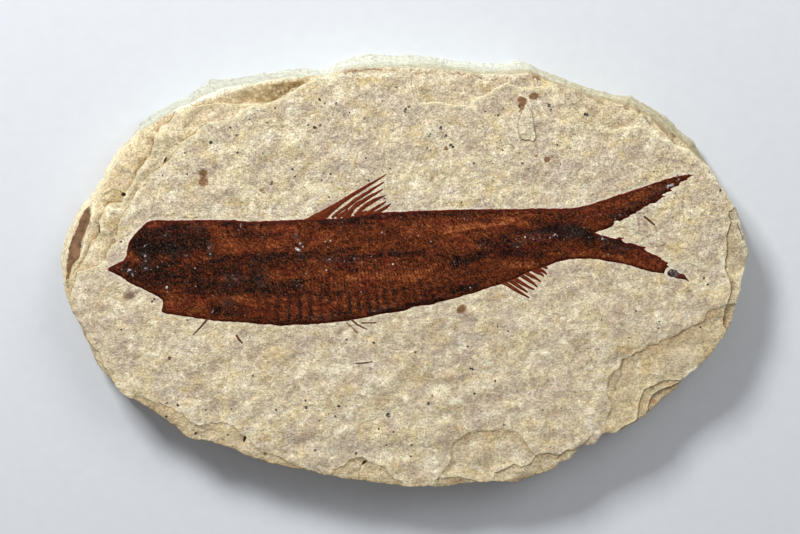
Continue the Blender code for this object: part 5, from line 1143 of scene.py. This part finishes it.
def side_levels(rim_points):
    """Rings of points from the rim down the broken side to the back, and their shares of the way down."""
    angles = np.arctan2(rim_points[:, 1] * OVAL, rim_points[:, 0])
    outer = side_radius(rough_edge(OUTLINE) * OUTLINE_GROWTH + (0, OUTLINE_DROP), angles)
    inner = np.hypot(rim_points[:, 0], rim_points[:, 1] * OVAL)
    levels = []
    for number in range(1, SIDE_LEVELS + 1):
        share = number / SIDE_LEVELS
        out = min(share / WIDEST_SHARE, 1)
        inset = BACK_INSET * max(share - WIDEST_SHARE, 0) / (1 - WIDEST_SHARE)
        height = rim_points[:, 2] * (1 - share)
        radius = inner + (np.maximum(outer, inner + SIDE_LEAST) - inner) * out - inset
        x, y = radius * np.cos(angles), radius * np.sin(angles) / OVAL
        off_back = min(1, 12 * (1 - share))
        hold = min(1, 3 * share) * min(1, abs(share - WIDEST_SHARE) * 9 + 0.15) * off_back
        back = hold * np.array([bed_back(*spot) for spot in zip(x, y, height)]) / radius
        fine = np.array([noise.noise((u / 0.8, v / 0.8, w / 0.6)) for u, v, w in zip(x, y, height)])
        back += SIDE_GRAIN * fine * off_back / radius
        levels.append((share, np.c_[x * (1 - back), y * (1 - back), height]))
    return levels


def build_slab(finish):
    rim = counter_clockwise(rough_edge(on_face(UPPER_RIM).tolist() + LOWER_RIM))
    ledges, grooves = rough_ledges(), groove_lines()
    lines = [(ledge[part], False) for ledge in ledges for part in ("lip", "foot")]
    lines += [(line, False) for *_, line in grooves] + pit_rings()
    body = counter_clockwise(FISH_OUTLINE)
    for inset in POCKET_LINES:
        lines.append((resample(offset(body, inset, True).tolist(), POCKET_STEP, True), True))
    flake = counter_clockwise(on_face(resample(FLAKE, LINE_STEP, True)))
    lines += [(offset(flake, amount, True), True) for amount in (0.03, -FLAKE_RUN)]
    lines = [
        (line[inside(line, rim) & (distance_to(line, rim, True, 2) > 0.12)], closed)
        for line, closed in lines]
    field = np.r_[hex_points(rim, FACE_GRID), on_face(rings(SPECKS, (0.0, 0.85, 1.3), 7))]
    flat, faces = triangulate(rim, lines, field, FACE_GRID)
    height, fields = face_fields(flat, rim, ledges, grooves)
    loop = boundary(faces)
    spots = [np.c_[flat, height]]
    faces = faces.tolist()
    above = loop
    for share, ring in side_levels(spots[0][loop]):
        below = np.arange(len(ring)) + sum(map(len, spots))
        faces += wall(above, below)
        spots.append(ring)
        for field, values in fields.items():
            fall = 2 if field == "brown" else 6
            carried = values[loop] * max(0, 1 - fall * share)
            fields[field] = np.r_[values, np.full(len(loop), share) if field == "side" else carried]
        above = below
    faces.append(above[::-1].tolist())
    slab = make_object("limestone_slab_surface", np.concatenate(spots), faces, finish, fields, 38)
    part_of(slab, "limestone", "limestone_slab")


# The fish's shape

def fish_relief(points, edge):
    """The pressed body's height over the face: a low crown, its ribs, scales and gill cover."""
    back = np.interp(points[:, 0], FISH_BACK_X, FISH_BACK_Y)
    belly = np.interp(points[:, 0], FISH_BELLY_X, FISH_BELLY_Y)
    up = (points[:, 1] - belly) / np.maximum(back - belly, 1)
    height = FISH_EDGE * (1 - np.exp(-edge / FISH_EDGE_RUN)) + FISH_CROWN * (1 - np.exp(-edge / CROWN_REACH))
    along = np.clip((BACKBONE_TO - points[:, 0]) / BACKBONE_FADE, 0, 1)
    along *= climb(points[:, 0], BACKBONE_FROM, BACKBONE_FADE)
    from_backbone = points[:, 1] - np.interp(points[:, 0], BACKBONE_X, BACKBONE_Y)
    height += BACKBONE_RISE * along * fade(from_backbone, BACKBONE_WIDTH)
    gill = np.clip((GILL_X - GILL_BEND * (points[:, 1] + 1) ** 2 - points[:, 0]) / 0.8, 0, 1)
    height += GILL_RISE * gill * climb(edge, 0, 2.5)
    inner = climb(edge, 0, 0.8)
    phase = bar_phase(points)
    height += BAR_RISE * inner * bar_strength(points, up) * np.sin(phase)
    height += inner * sum(
        rise * swell(points, size, seed, stretch, FLANK_LEAN) for size, rise, seed, stretch in FLANK_SWELLS)
    return height, up, phase


def bar_phase(points):
    """The bars along the belly: upright in front, leaning back further on."""
    lean = np.interp(points[:, 0], (-30, -5, 5, 30), (0.0, 0.1, 0.35, 0.6))
    pitch = np.interp(points[:, 0], (-30, 0, 20), (2.05, 1.8, 1.5))
    return math.tau * (points[:, 0] + lean * points[:, 1]) / pitch + 2.2 + 1.2 * swell(points, 3, 8.5, 1, 0)


def bar_strength(points, up):
    """How plain the belly's bars are, patch by patch along a band above the belly's edge."""
    ends = np.interp(points[:, 0], (-32, -25, -3, 1, 10, 14), (0, 0.9, 0.9, 0.4, 0.25, 0))
    patchy = np.clip(0.8 + 0.8 * swell(points, 2.4, 18.5, 1, 0), 0, 1)
    return ends * np.exp(-((up - 0.15) / 0.12) ** 4) * patchy


def fish_tone(points):
    """How much darker or more tan than its plain brown the fish is at each point."""
    tone = np.zeros(len(points))
    for strength, soft, outline in FISH_PATCHES:
        depth = distance_to(points, outline, True, 3) * np.where(inside(points, outline), 1, -1)
        tone += strength * np.clip(0.5 + 0.5 * depth / soft, 0, 1)
    return tone + strokes(points, FISH_TONES)


def build_fish(finish):
    outline = counter_clockwise(roughened(resample(rounded(FISH_OUTLINE), FISH_STEP, True), 0.1, 0.12, 33))
    painted_glint_rings = rings([(x, y, 0.5 * (a + b)) for x, y, a, b, *_ in PAINTED_GLINTS], (0.0, 0.5, 1.0), 6)
    field = np.r_[hex_points(outline, FISH_GRID), painted_glint_rings]
    flat, faces = triangulate(outline, [], field, FISH_GRID)
    edge = distance_to(flat, outline, True, 14)
    height, up, phase = fish_relief(flat, edge)
    # Painted glints: highlights of light on the glossy bone, laid on as colour
    painted_glint = np.max([strength * np.clip(2 * blob(flat, *place), 0, 1) for *place, strength in PAINTED_GLINTS], axis=0)
    hatch = fade(up - 0.42, 0.16) * climb(flat[:, 0], -26, 8)
    hatch *= np.clip((24 - flat[:, 0]) / 8, 0, 1)
    height += FACE_HEIGHT + FISH_LIFT
    spots, faces, loop = thick_sheet(flat, faces, height, FACE_HEIGHT - FISH_SINK)
    fields = dict(
        edge=edge, phase=phase, tone=fish_tone(flat), bars=bar_strength(flat, up), hatch=hatch, painted_glint=painted_glint,
        veil=marks(flat, VEILS))
    fields = {field: np.r_[values, values[loop]] for field, values in fields.items()}
    fish = make_object("fossil_fish_body", spots, faces, finish, fields, 50)
    part_of(fish, "fossil_bone", "fossil_fish")


def blade(line, widths, rise):
    """Points and faces of a thin tapered ray, half sunk in the stone, with a rounded top."""
    line = roughened(resample(line, RAY_STEP, False), 0.08, 0.06, 12)
    share = np.linspace(0, 1, len(line))
    half = np.interp(share, np.linspace(0, 1, len(widths)), widths) / 2
    side = offset(line, 1, False) - line
    section = ((-1, RAY_SINK), (-1, 0.5), (-0.6, 0.95), (0, 1.0), (0.6, 0.95), (1, 0.5), (1, RAY_SINK))
    spots = []
    for across, up in section:
        place = line + side * (across * half)[:, None]
        spots.append(np.c_[place, np.full(len(line), FACE_HEIGHT) + up * rise * (1 - RAY_TAPER * share)])
    spots = np.stack(spots, axis=1).reshape(-1, 3)
    count = len(section)
    faces = []
    for i in range(len(line) - 1):
        for k in range(count):
            a, b = i * count + k, i * count + (k + 1) % count
            faces.append((a, b, b + count, a + count))
    faces += [tuple(range(count - 1, -1, -1)), tuple(range(len(spots) - count, len(spots)))]
    rim = np.tile([abs(across) for across, _ in section], len(line))
    return spots, faces, np.repeat(share, count), rim


def build_rays(name, rays, finish, slot, *nodes):
    """One object of several rays, each given as its line, widths and rise."""
    spots, faces, shares, rims = [], [], [], []
    for line, widths, rise in rays:
        points, ring, share, rim = blade(line, widths, rise)
        start = sum(map(len, spots))
        faces += [tuple(start + i for i in face) for face in ring]
        spots.append(points)
        shares.append(share)
        rims.append(rim)
    fields = dict(share=np.concatenate(shares), rim=np.concatenate(rims))
    obj = make_object(name, np.concatenate(spots), faces, finish, fields, 60)
    mesh = bmesh.new()
    mesh.from_mesh(obj.data)
    bmesh.ops.recalc_face_normals(mesh, faces=mesh.faces)
    mesh.to_mesh(obj.data)
    mesh.free()
    part_of(obj, slot, *nodes)


def build_tail_tip(finish):
    outline = counter_clockwise(roughened(resample(TAIL_TIP, TIP_STEP, True), 0.05, 0.08, 44))
    flat, faces = triangulate(outline, [], hex_points(outline, TIP_GRID), TIP_GRID)
    edge = distance_to(flat, outline, True, 3)
    crown = TIP_CROWN * (1 - np.exp(-edge / TIP_RUN))
    height = FACE_HEIGHT + TIP_LIFT + crown + TIP_SWELL * swell(flat, 0.6, 15.5)
    spots, faces, _ = thick_sheet(flat, faces, height, FACE_HEIGHT - TIP_SINK)
    along = climb(spots[:, 0], 57.4, 4.2)
    tip = make_object("tail_tip_crumb", spots, faces, finish, dict(along=along), 50)
    part_of(tip, "tail_tip", "lower_tail_tip")


# Materials

class Nodes:
    """A material's nodes, each made and linked in one call."""

    def __init__(self, name):
        self.material = bpy.data.materials.new(name)
        self.material.use_nodes = True
        self.tree = self.material.node_tree
        self.shader = self.tree.nodes["Principled BSDF"]

    def put(self, socket, value):
        if isinstance(value, bpy.types.NodeSocket):
            self.tree.links.new(value, socket)
        else:
            socket.default_value = value

    def node(self, kind, inputs, **settings):
        """A new node with its inputs linked or set."""
        made = self.tree.nodes.new(kind)
        for name, value in settings.items():
            setattr(made, name, value)
        for place, value in inputs.items():
            self.put(made.inputs[place], value)
        return made

    def field(self, name):
        """The number that each point of the mesh carries under this name."""
        return self.node("ShaderNodeAttribute", {}, attribute_name=name).outputs["Fac"]

    def space(self, lean=0.0, stretch=(1, 1, 1)):
        """Coordinates in millimetres, turned by lean and shortened by stretch along each direction."""
        place = self.node("ShaderNodeTexCoord", {}).outputs["Object"]
        turned = self.node("ShaderNodeMapping", {"Vector": place, "Rotation": (0, 0, -math.radians(lean))})
        scale = [1 / (MM * share) for share in stretch]
        return self.node("ShaderNodeMapping", {"Vector": turned.outputs[0], "Scale": scale}).outputs[0]

    def noise(self, space, size, detail=3.0, rough=0.55, warp=0.0):
        inputs = {"Vector": space, "Scale": 1 / size, "Detail": detail, "Roughness": rough}
        inputs["Distortion"] = warp
        return self.node("ShaderNodeTexNoise", inputs).outputs["Fac"]

    def grains(self, space, size):
        return self.node("ShaderNodeTexVoronoi", {"Vector": space, "Scale": 1 / size}).outputs["Distance"]

    def math(self, operation, first, second=0.0):
        return self.node("ShaderNodeMath", {0: first, 1: second}, operation=operation).outputs[0]

    def span(self, value, low, high, to_low=0.0, to_high=1.0):
        """The value's place between low and high, held at both ends."""
        inputs = {"Value": value, "From Min": low, "From Max": high, "To Min": to_low, "To Max": to_high}
        return self.node("ShaderNodeMapRange", inputs).outputs["Result"]

    def plus(self, first, second):
        return self.math("ADD", first, second)

    def times(self, first, second):
        return self.math("MULTIPLY", first, second)

    def mix(self, share, first, second, blend="MIX"):
        made = self.node("ShaderNodeMix", {0: share, 6: first, 7: second}, data_type="RGBA", blend_type=blend)
        return made.outputs[2]

    def over(self, colour, field, share, shade):
        """The colour with a shade laid over it where the field says."""
        return self.mix(self.times(self.field(field), share), colour, shade)

    def bump(self, height, size, normal=None):
        inputs = {"Height": height, "Distance": size * MM, "Strength": 1.0}
        if normal:
            inputs["Normal"] = normal
        return self.node("ShaderNodeBump", inputs).outputs[0]

    def finish(self, colour, roughness, normal, **constants):
        self.put(self.shader.inputs["Base Color"], colour)
        self.put(self.shader.inputs["Roughness"], roughness)
        self.put(self.shader.inputs["Normal"], normal)
        for name, value in constants.items():
            self.shader.inputs[name.replace("_", " ")].default_value = value
        return self.material


def ground_stone(n, even, streaks, patches, small):
    """The bare stone's mottling, from wide clouds to small rosy dots."""
    clouds = n.noise(streaks, 3.4, 4, 0.6, 0.5)
    yellow = n.noise(streaks, 4.2, 5, 0.7, 0.8)
    rosy = n.noise(even, 0.7, 3, 0.7)
    colour = n.mix(n.span(patches, 0.36, 0.64), srgb(220, 207, 168), srgb(196, 181, 156))
    for pattern, low, high, most, shade in (
        (clouds, 0.5, 0.68, 0.85, srgb(172, 153, 133)), (clouds, 0.47, 0.32, 0.9, srgb(240, 232, 206)),
        (small, 0.51, 0.66, 0.75, srgb(176, 157, 140)), (small, 0.46, 0.34, 0.7, srgb(242, 234, 200)),
        (yellow, 0.52, 0.68, 0.8, srgb(208, 185, 128)), (yellow, 0.47, 0.34, 0.45, srgb(206, 193, 178)),
        (rosy, 0.4, 0.6, 0.3, srgb(208, 186, 166)),
    ):
        colour = n.mix(n.span(pattern, low, high, 0, most), colour, shade)
    return colour


def broken_side(n, x, y, side, colour):
    """The colour with the side's over it: pale at the top of the slab, tan elsewhere, in thin beds."""
    beds = n.noise(n.space(0, (14, 14, 0.55)), 1.0, 3, 0.6, 0.2)
    upward = n.span(n.plus(y, n.times(x, 0.16)), 20, 24)

    def side_shade(low_tan, high_tan, left_chalk, right_chalk):
        tan = n.mix(n.span(y, -14, -2), low_tan, high_tan)
        return n.mix(upward, tan, n.mix(n.span(x, 24, 38), left_chalk, right_chalk))

    plain = side_shade(srgb(192, 166, 122), srgb(228, 216, 184), srgb(208, 209, 196), srgb(195, 189, 164))
    bedded = side_shade(srgb(150, 122, 82), srgb(200, 184, 150), srgb(196, 196, 178), srgb(177, 166, 128))
    shade = n.mix(n.span(beds, 0.45, 0.62), plain, bedded)
    shade = n.mix(n.times(upward, n.span(x, -17, -28, 0, 0.2)), shade, srgb(110, 112, 98))
    colour = n.mix(n.span(side, 0.01, 0.09), colour, shade)
    # Painted shadow: a tan band just under the upper rim, where its edge shades the side
    under_rim_shadow = n.times(n.span(side, 0.0, 0.05), n.span(side, 0.42, 0.2))
    under_rim_shadow = n.times(under_rim_shadow, n.span(x, -14, 2, 0.3, 0.85))
    tan = n.mix(n.span(x, 4, 30), srgb(166, 163, 128), srgb(170, 150, 108))
    return n.mix(n.times(under_rim_shadow, n.times(upward, 0.8)), colour, tan)


def limestone():
    n = Nodes("limestone_surface")
    streaks = n.space(GRAIN_LEAN, (1.2, 1, 1))
    even = n.space()
    place = n.node("ShaderNodeSeparateXYZ", {0: even})
    x, y = place.outputs[0], place.outputs[1]
    side = n.field("side")
    patches = n.noise(streaks, 9.0, 3, 0.6, 0.6)
    small = n.noise(even, 1.7, 4, 0.65, 0.4)
    grain = n.noise(even, 0.9, 4, 0.7)
    fine = n.noise(even, 0.42, 3, 0.8)
    colour = ground_stone(n, even, streaks, patches, small)
    colour = n.over(colour, "ochre", 0.8, srgb(205, 182, 128))
    colour = n.over(colour, "warm", 0.6, srgb(205, 184, 138))
    colour = n.over(colour, "flake", 0.75, srgb(224, 213, 184))
    colour = n.over(colour, "violet", 0.85, srgb(126, 100, 82))
    colour = n.over(colour, "rosy", 0.85, srgb(180, 124, 90))
    colour = broken_side(n, x, y, side, colour)
    # Soft tan at the ledges' feet, painted shade mixed with brown stain, and a tan line along the lower rim;
    # drawn strokes of tan and cream, partly painted shade and painted highlight; and the flat back
    uneven = n.span(n.noise(even, 2.2, 3), 0.35, 0.65, 0.35, 0.8)
    colour = n.mix(n.times(n.field("soft"), uneven), colour, srgb(168, 140, 96))
    tone_and_light_stroke = n.times(n.field("strokes"), uneven)
    colour = n.mix(n.span(tone_and_light_stroke, 0, 1), colour, srgb(158, 126, 84))
    colour = n.mix(n.span(tone_and_light_stroke, 0, -1), colour, srgb(252, 247, 221))
    back_colour = n.mix(n.span(patches, 0.36, 0.64), srgb(205, 189, 155), srgb(180, 161, 134))
    colour = n.mix(n.span(side, 0.985, 1.0), colour, back_colour)
    # Fine light and dark dots, the dark ones a little warmer
    crisp = n.times(n.span(fine, 0.3, 0.7, -0.46, 0.46), n.span(y, -6, 12, 1.0, 1.3))
    crisp = n.times(crisp, n.span(side, 0.03, 0.15, 1.0, 0.45))
    shade = n.plus(n.span(grain, 0.3, 0.7, 0.82, 1.32), crisp)
    tints = {0: n.times(shade, 0.99)}
    tints[1] = n.times(n.math("POWER", shade, 1.03), 0.985)
    tints[2] = n.times(n.math("POWER", shade, 1.1), 0.96)
    tint = n.node("ShaderNodeCombineXYZ", tints)
    colour = n.mix(1.0, colour, tint.outputs[0], "MULTIPLY")
    # Stains, crystal, pale marks, lines and specks, with ragged edges; the pale marks are partly painted
    # highlights and the dark lines partly painted shadow
    edge = n.span(n.noise(even, 0.5, 3, 0.7), 0.3, 0.7, -0.22, 0.22)
    brown = n.span(n.plus(n.field("brown"), edge), 0.3, 0.75)
    brown_colour = n.mix(n.span(grain, 0.35, 0.65), srgb(104, 70, 42), srgb(150, 110, 72))
    colour = n.mix(n.times(brown, 0.95), colour, brown_colour)
    crevice = n.mix(n.span(x, -36, -23), srgb(196, 172, 124), srgb(136, 100, 56))
    crystal = n.mix(n.span(n.grains(even, 1.0), 0.15, 0.5), srgb(224, 204, 160), crevice)
    colour = n.mix(n.times(n.field("crystal"), n.span(small, 0.3, 0.7, 0.5, 1.0)), colour, crystal)
    facet = n.mix(n.span(small, 0.36, 0.64), srgb(86, 57, 36), srgb(136, 99, 68))
    colour = n.mix(n.times(n.span(n.plus(n.field("facet"), edge), 0.2, 0.5), 0.95), colour, facet)
    # Pale: painted highlights along the ledges' lips and on the mounds' tops, and pale spots of the stone
    colour = n.over(colour, "pale", 0.75, srgb(243, 233, 192))
    colour = n.over(colour, "cut", 0.6, srgb(246, 240, 220))
    # Dark lines: painted shadow at the ledges' feet, in the pits and on the flake's shaded side, and dark
    # cracks
    broken = n.span(n.noise(even, 2.6, 3, 0.6), 0.35, 0.62, 0.4, 1.0)
    line = n.times(n.plus(n.field("dark"), n.times(edge, 0.9)), broken)
    colour = n.mix(n.span(line, 0.25, 1.0, 0, 0.8), colour, srgb(98, 80, 46))
    dust = n.span(n.grains(even, 1.9), 0.075, 0.05)
    dust = n.times(dust, n.span(n.noise(even, 9, 2), 0.5, 0.62))
    colour = n.mix(n.times(dust, 0.7), colour, srgb(96, 88, 74))
    ragged = n.plus(n.field("specks"), n.span(n.noise(even, 0.3, 2), 0.35, 0.65, -0.5, 0.3))
    colour = n.mix(n.times(n.span(n.field("specks"), 0, 0.6), 0.3), colour, srgb(132, 134, 132))
    colour = n.mix(n.span(ragged, 0.35, 0.75, 0, 0.95), colour, srgb(26, 30, 32))
    rough = n.span(n.noise(even, 1.5), 0.3, 0.7, 0.78, 0.95)
    relief = n.plus(n.times(fine, 0.6), grain)
    normal = n.bump(relief, 0.36, n.bump(n.noise(even, 0.25, 2, 0.6), 0.08))
    return n.finish(colour, rough, normal, Specular_IOR_Level=0.3)


def bone_tone(n, even, mottle, fine):
    """How dark the bone is at each point, about -1.7 to 1.7, and how deep in a groove between bars."""
    streaks = n.noise(n.space(7, (3.2, 1, 1)), 0.9, 4, 0.65, 0.4)
    patches = n.noise(n.space(5, (2.4, 1, 1)), 3.4, 4, 0.6, 0.8)
    scales = n.noise(n.space(-38, (2.4, 1, 1)), 0.5, 3, 0.75, 0.3)
    tone = n.times(n.field("tone"), 0.9)
    for pattern, low, high, swing in (
        (patches, 0.25, 0.75, 0.4), (streaks, 0.3, 0.7, 0.5), (mottle, 0.3, 0.7, 0.4),
        (scales, 0.32, 0.68, 0.75),
    ):
        tone = n.plus(tone, n.span(pattern, low, high, -swing, swing))
    wave = n.times(n.math("SINE", n.field("phase")), n.span(mottle, 0.3, 0.6, 0.5, 1.0))
    tone = n.plus(tone, n.times(n.times(wave, n.field("bars")), 0.5))
    groove = n.times(n.span(wave, -0.25, -0.8), n.field("bars"))
    tone = n.math("SUBTRACT", tone, n.times(groove, 0.6))
    hatch = n.math("SINE", n.times(n.field("phase"), 2.6))
    tone = n.plus(tone, n.times(n.times(hatch, n.field("hatch")), 0.3))
    tone = n.plus(tone, n.span(fine, 0.3, 0.7, -0.4, 0.55))
    peppered = n.span(n.noise(even, 3.1, 2), 0.4, 0.6, 0.3, 1)
    pepper = n.times(n.span(n.noise(even, 0.36, 2), 0.57, 0.66), peppered)
    return n.math("SUBTRACT", tone, n.times(pepper, 1.1)), groove


def bone_browns(n, tone):
    """The run of browns from the darkest to the palest tone."""
    ramp = n.node("ShaderNodeValToRGB", {"Fac": n.span(tone, -1.7, 1.7)})
    stops = ramp.color_ramp.elements
    stops[0].position, stops[0].color = 0.06, srgb(14, 9, 9)
    stops[1].position, stops[1].color = 0.97, srgb(166, 106, 68)
    for place, shade in (
        (0.21, srgb(34, 16, 12)), (0.35, srgb(55, 24, 14)), (0.5, srgb(80, 36, 17)),
        (0.65, srgb(102, 49, 23)), (0.79, srgb(128, 68, 36)),
    ):
        stops.new(place).color = shade
    return ramp.outputs["Color"]


def fossil_bone():
    n = Nodes("fossil_bone_surface")
    even = n.space()
    mottle = n.noise(even, 0.7, 4, 0.7, 0.5)
    fine = n.noise(even, 0.34, 3, 0.8)
    tone, groove = bone_tone(n, even, mottle, fine)
    colour = bone_browns(n, tone)
    # Cold dark patches and bluish-grey veils, then fine light and dark, and wine-red patches
    cold = n.times(n.span(tone, -0.3, -0.9), n.span(n.noise(even, 1.6, 3), 0.48, 0.66))
    cold = n.math("MAXIMUM", n.times(cold, 0.3), n.times(groove, 0.5))
    colour = n.mix(cold, colour, srgb(38, 29, 31))
    veil = n.times(n.field("veil"), n.span(n.noise(even, 0.8, 4, 0.8), 0.42, 0.66, 0, 0.75))
    colour = n.mix(veil, colour, srgb(88, 78, 82))
    colour = n.mix(1.0, colour, (1.02, 0.95, 0.84, 1), "MULTIPLY")
    colour = n.mix(n.span(fine, 0.5, 0.74), colour, (0.09, 0.054, 0.036, 1), "ADD")
    colour = n.mix(n.span(fine, 0.5, 0.28), colour, (0.3, 0.28, 0.26, 1), "MULTIPLY")
    wine = n.span(n.noise(n.space(5, (2, 1, 1)), 3.0, 3), 0.5, 0.66, 0, 0.45)
    colour = n.mix(wine, colour, n.mix(n.span(tone, -0.9, 0.9), srgb(32, 12, 14), srgb(118, 46, 34)))
    # A dark rim with a red line along it, then painted sparkle and painted glints: highlights of light laid
    # on as silvery-white colour
    rim = n.span(n.plus(n.field("edge"), n.span(mottle, 0.3, 0.7, -0.12, 0.12)), 0.75, 0.25)
    colour = n.mix(n.times(rim, 0.55), colour, srgb(34, 10, 7))
    red = n.times(n.span(n.field("edge"), 0.3, 0.14), n.span(n.noise(even, 1.1, 3), 0.4, 0.6, 0.25, 0.9))
    colour = n.mix(red, colour, srgb(108, 18, 6))
    # Painted sparkle: tiny highlights scattered over the bone as pale specks
    painted_sparkle = n.span(n.grains(even, 0.9), 0.17, 0.1)
    painted_sparkle = n.times(painted_sparkle, n.span(n.noise(even, 3.0, 2), 0.54, 0.66))
    colour = n.mix(n.times(painted_sparkle, 0.6), colour, srgb(176, 158, 150))
    # The painted glints, in near-white
    painted_glint_speckle = n.times(n.field("painted_glint"), n.span(n.noise(even, 0.36, 3, 0.8), 0.4, 0.58, 0.25, 1.2))
    colour = n.mix(n.span(painted_glint_speckle, 0.1, 1.0), colour, srgb(232, 230, 230))
    rough = n.span(mottle, 0.3, 0.7, 0.36, 0.58)
    normal = n.bump(n.noise(even, 0.8, 2, 0.5), 0.09)
    return n.finish(colour, rough, normal, Specular_IOR_Level=0.02)


def ray_bone(name, root, tip, sides):
    n = Nodes(name)
    even = n.space()
    mottle = n.noise(even, 0.6, 4, 0.7)
    colour = n.mix(n.field("share"), root, tip)
    colour = n.mix(n.span(mottle, 0.5, 0.72, 0, 0.6), colour, srgb(150, 84, 30))
    colour = n.mix(n.span(mottle, 0.5, 0.25, 0, 0.7), colour, srgb(64, 28, 16))
    colour = n.mix(n.span(n.field("rim"), 0.5, 1.0, 0, 0.85), colour, sides)
    rough = n.span(mottle, 0.3, 0.7, 0.4, 0.62)
    return n.finish(colour, rough, n.bump(mottle, 0.08), Specular_IOR_Level=0.15)


def tip_bone():
    n = Nodes("tail_tip_surface")
    even = n.space()
    mottle = n.noise(even, 0.5, 4, 0.7)
    silver = n.mix(n.span(mottle, 0.42, 0.62), srgb(44, 29, 29), srgb(114, 98, 98))
    colour = n.mix(n.span(n.field("along"), 0.44, 0.58), silver, srgb(82, 26, 14))
    rough = n.span(mottle, 0.3, 0.7, 0.34, 0.6)
    return n.finish(colour, rough, n.bump(mottle, 0.12), Specular_IOR_Level=0.2)


# Stage

def build_floor():
    mesh = bmesh.new()
    bmesh.ops.create_grid(mesh, x_segments=2, y_segments=2, size=FLOOR_SIZE)
    data = bpy.data.meshes.new("floor")
    mesh.to_mesh(data)
    mesh.free()
    n = Nodes("floor_paper")
    grain = n.span(n.noise(n.space(), 3.0, 2), 0.3, 0.7)
    data.materials.append(n.finish(n.mix(grain, *FLOOR_SHADES), 0.7, (0, 0, 0)))
    floor = bpy.data.objects.new("floor", data)
    bpy.context.scene.collection.objects.link(floor)


def area_light(name, place, size, energy):
    data = bpy.data.lights.new(name, "AREA")
    data.shape = "RECTANGLE"
    data.size, data.size_y = size
    data.energy = energy
    lamp = bpy.data.objects.new(name, data)
    lamp.location = place
    lamp.rotation_euler = (-Vector(place)).to_track_quat("-Z", "Y").to_euler()
    bpy.context.scene.collection.objects.link(lamp)


def build_light():
    area_light("key_light", *KEY_LIGHT)
    area_light("fill_light", *FILL_LIGHT)
    world = bpy.data.worlds.new("studio")
    world.use_nodes = True
    sky = world.node_tree.nodes["Background"].inputs
    sky["Color"].default_value = WORLD_COLOUR
    sky["Strength"].default_value = WORLD_STRENGTH
    bpy.context.scene.world = world
    bpy.context.scene.view_settings.view_transform = "Standard"


def build_camera():
    tilt = math.radians(CAMERA_TILT)
    right = Vector((1, 0, 0))
    up = Vector((0, math.cos(tilt), -math.sin(tilt)))
    back = Vector((0, math.sin(tilt), math.cos(tilt)))
    lens_pixels = CAMERA_LENS / SENSOR_WIDTH * IMAGE_SIZE[0]
    across = (FACE_MIDDLE_PIXEL[0] - IMAGE_SIZE[0] / 2) / lens_pixels * CAMERA_DISTANCE
    along = (IMAGE_SIZE[1] / 2 - FACE_MIDDLE_PIXEL[1]) / lens_pixels * CAMERA_DISTANCE
    place = Vector((*FACE_MIDDLE, FACE_HEIGHT)) + back * CAMERA_DISTANCE - right * across - up * along
    data = bpy.data.cameras.new("camera")
    data.lens = CAMERA_LENS
    data.sensor_width = SENSOR_WIDTH
    data.clip_start = 0.01
    camera = bpy.data.objects.new("camera", data)
    camera.matrix_world = Matrix.Translation(place * MM) @ Matrix((right, up, back)).transposed().to_4x4()
    bpy.context.scene.collection.objects.link(camera)
    bpy.context.scene.camera = camera


def build():
    bone = fossil_bone()
    ray = ray_bone("fin_ray_surface", srgb(100, 46, 14), srgb(98, 24, 10), srgb(96, 14, 4))
    loose = ray_bone("loose_bone_surface", srgb(96, 62, 36), srgb(106, 72, 40), srgb(84, 50, 26))
    build_slab(limestone())
    build_fish(bone)
    rays = [(line, widths, RAY_HEIGHT) for line, widths in zip(DORSAL_RAYS, DORSAL_WIDTHS)]
    rays += [(line, THREAD_WIDTHS, THREAD_HEIGHT) for line in DORSAL_THREADS]
    rays += [(line, widths, WEB_HEIGHT) for line, widths in DORSAL_WEB]
    build_rays("dorsal_fin_rays", rays, ray, "fossil_bone")
    build_rays("anal_fin_rays", [(line, ANAL_WIDTHS, RAY_HEIGHT) for line in ANAL_RAYS], ray, "fossil_bone")
    rays = [(line, PAIRED_WIDTHS, RAY_HEIGHT) for line in PAIRED_RAYS]
    rays += [(line, THREAD_WIDTHS, THREAD_HEIGHT) for line in PAIRED_THREADS]
    build_rays("paired_fin_rays", rays, loose, "fossil_bone")
    build_tail_tip(tip_bone())
    for name, line, widths, rise, node in (
        ("loose_ray", LOOSE_RAY, SPLINTER_WIDTHS, LOOSE_RAY_HEIGHT, "loose_fin_ray"),
        ("curved_splinter", RIB_SPLINTER, SPLINTER_WIDTHS, SPLINTER_HEIGHT, "rib_splinter"),
        ("thin_needle", NEEDLE, NEEDLE_WIDTHS, NEEDLE_HEIGHT, "bone_needle"),
    ):
        build_rays(name, [(line, widths, rise)], loose, "loose_bone", node)
    build_floor()
    build_light()
    build_camera()


build()
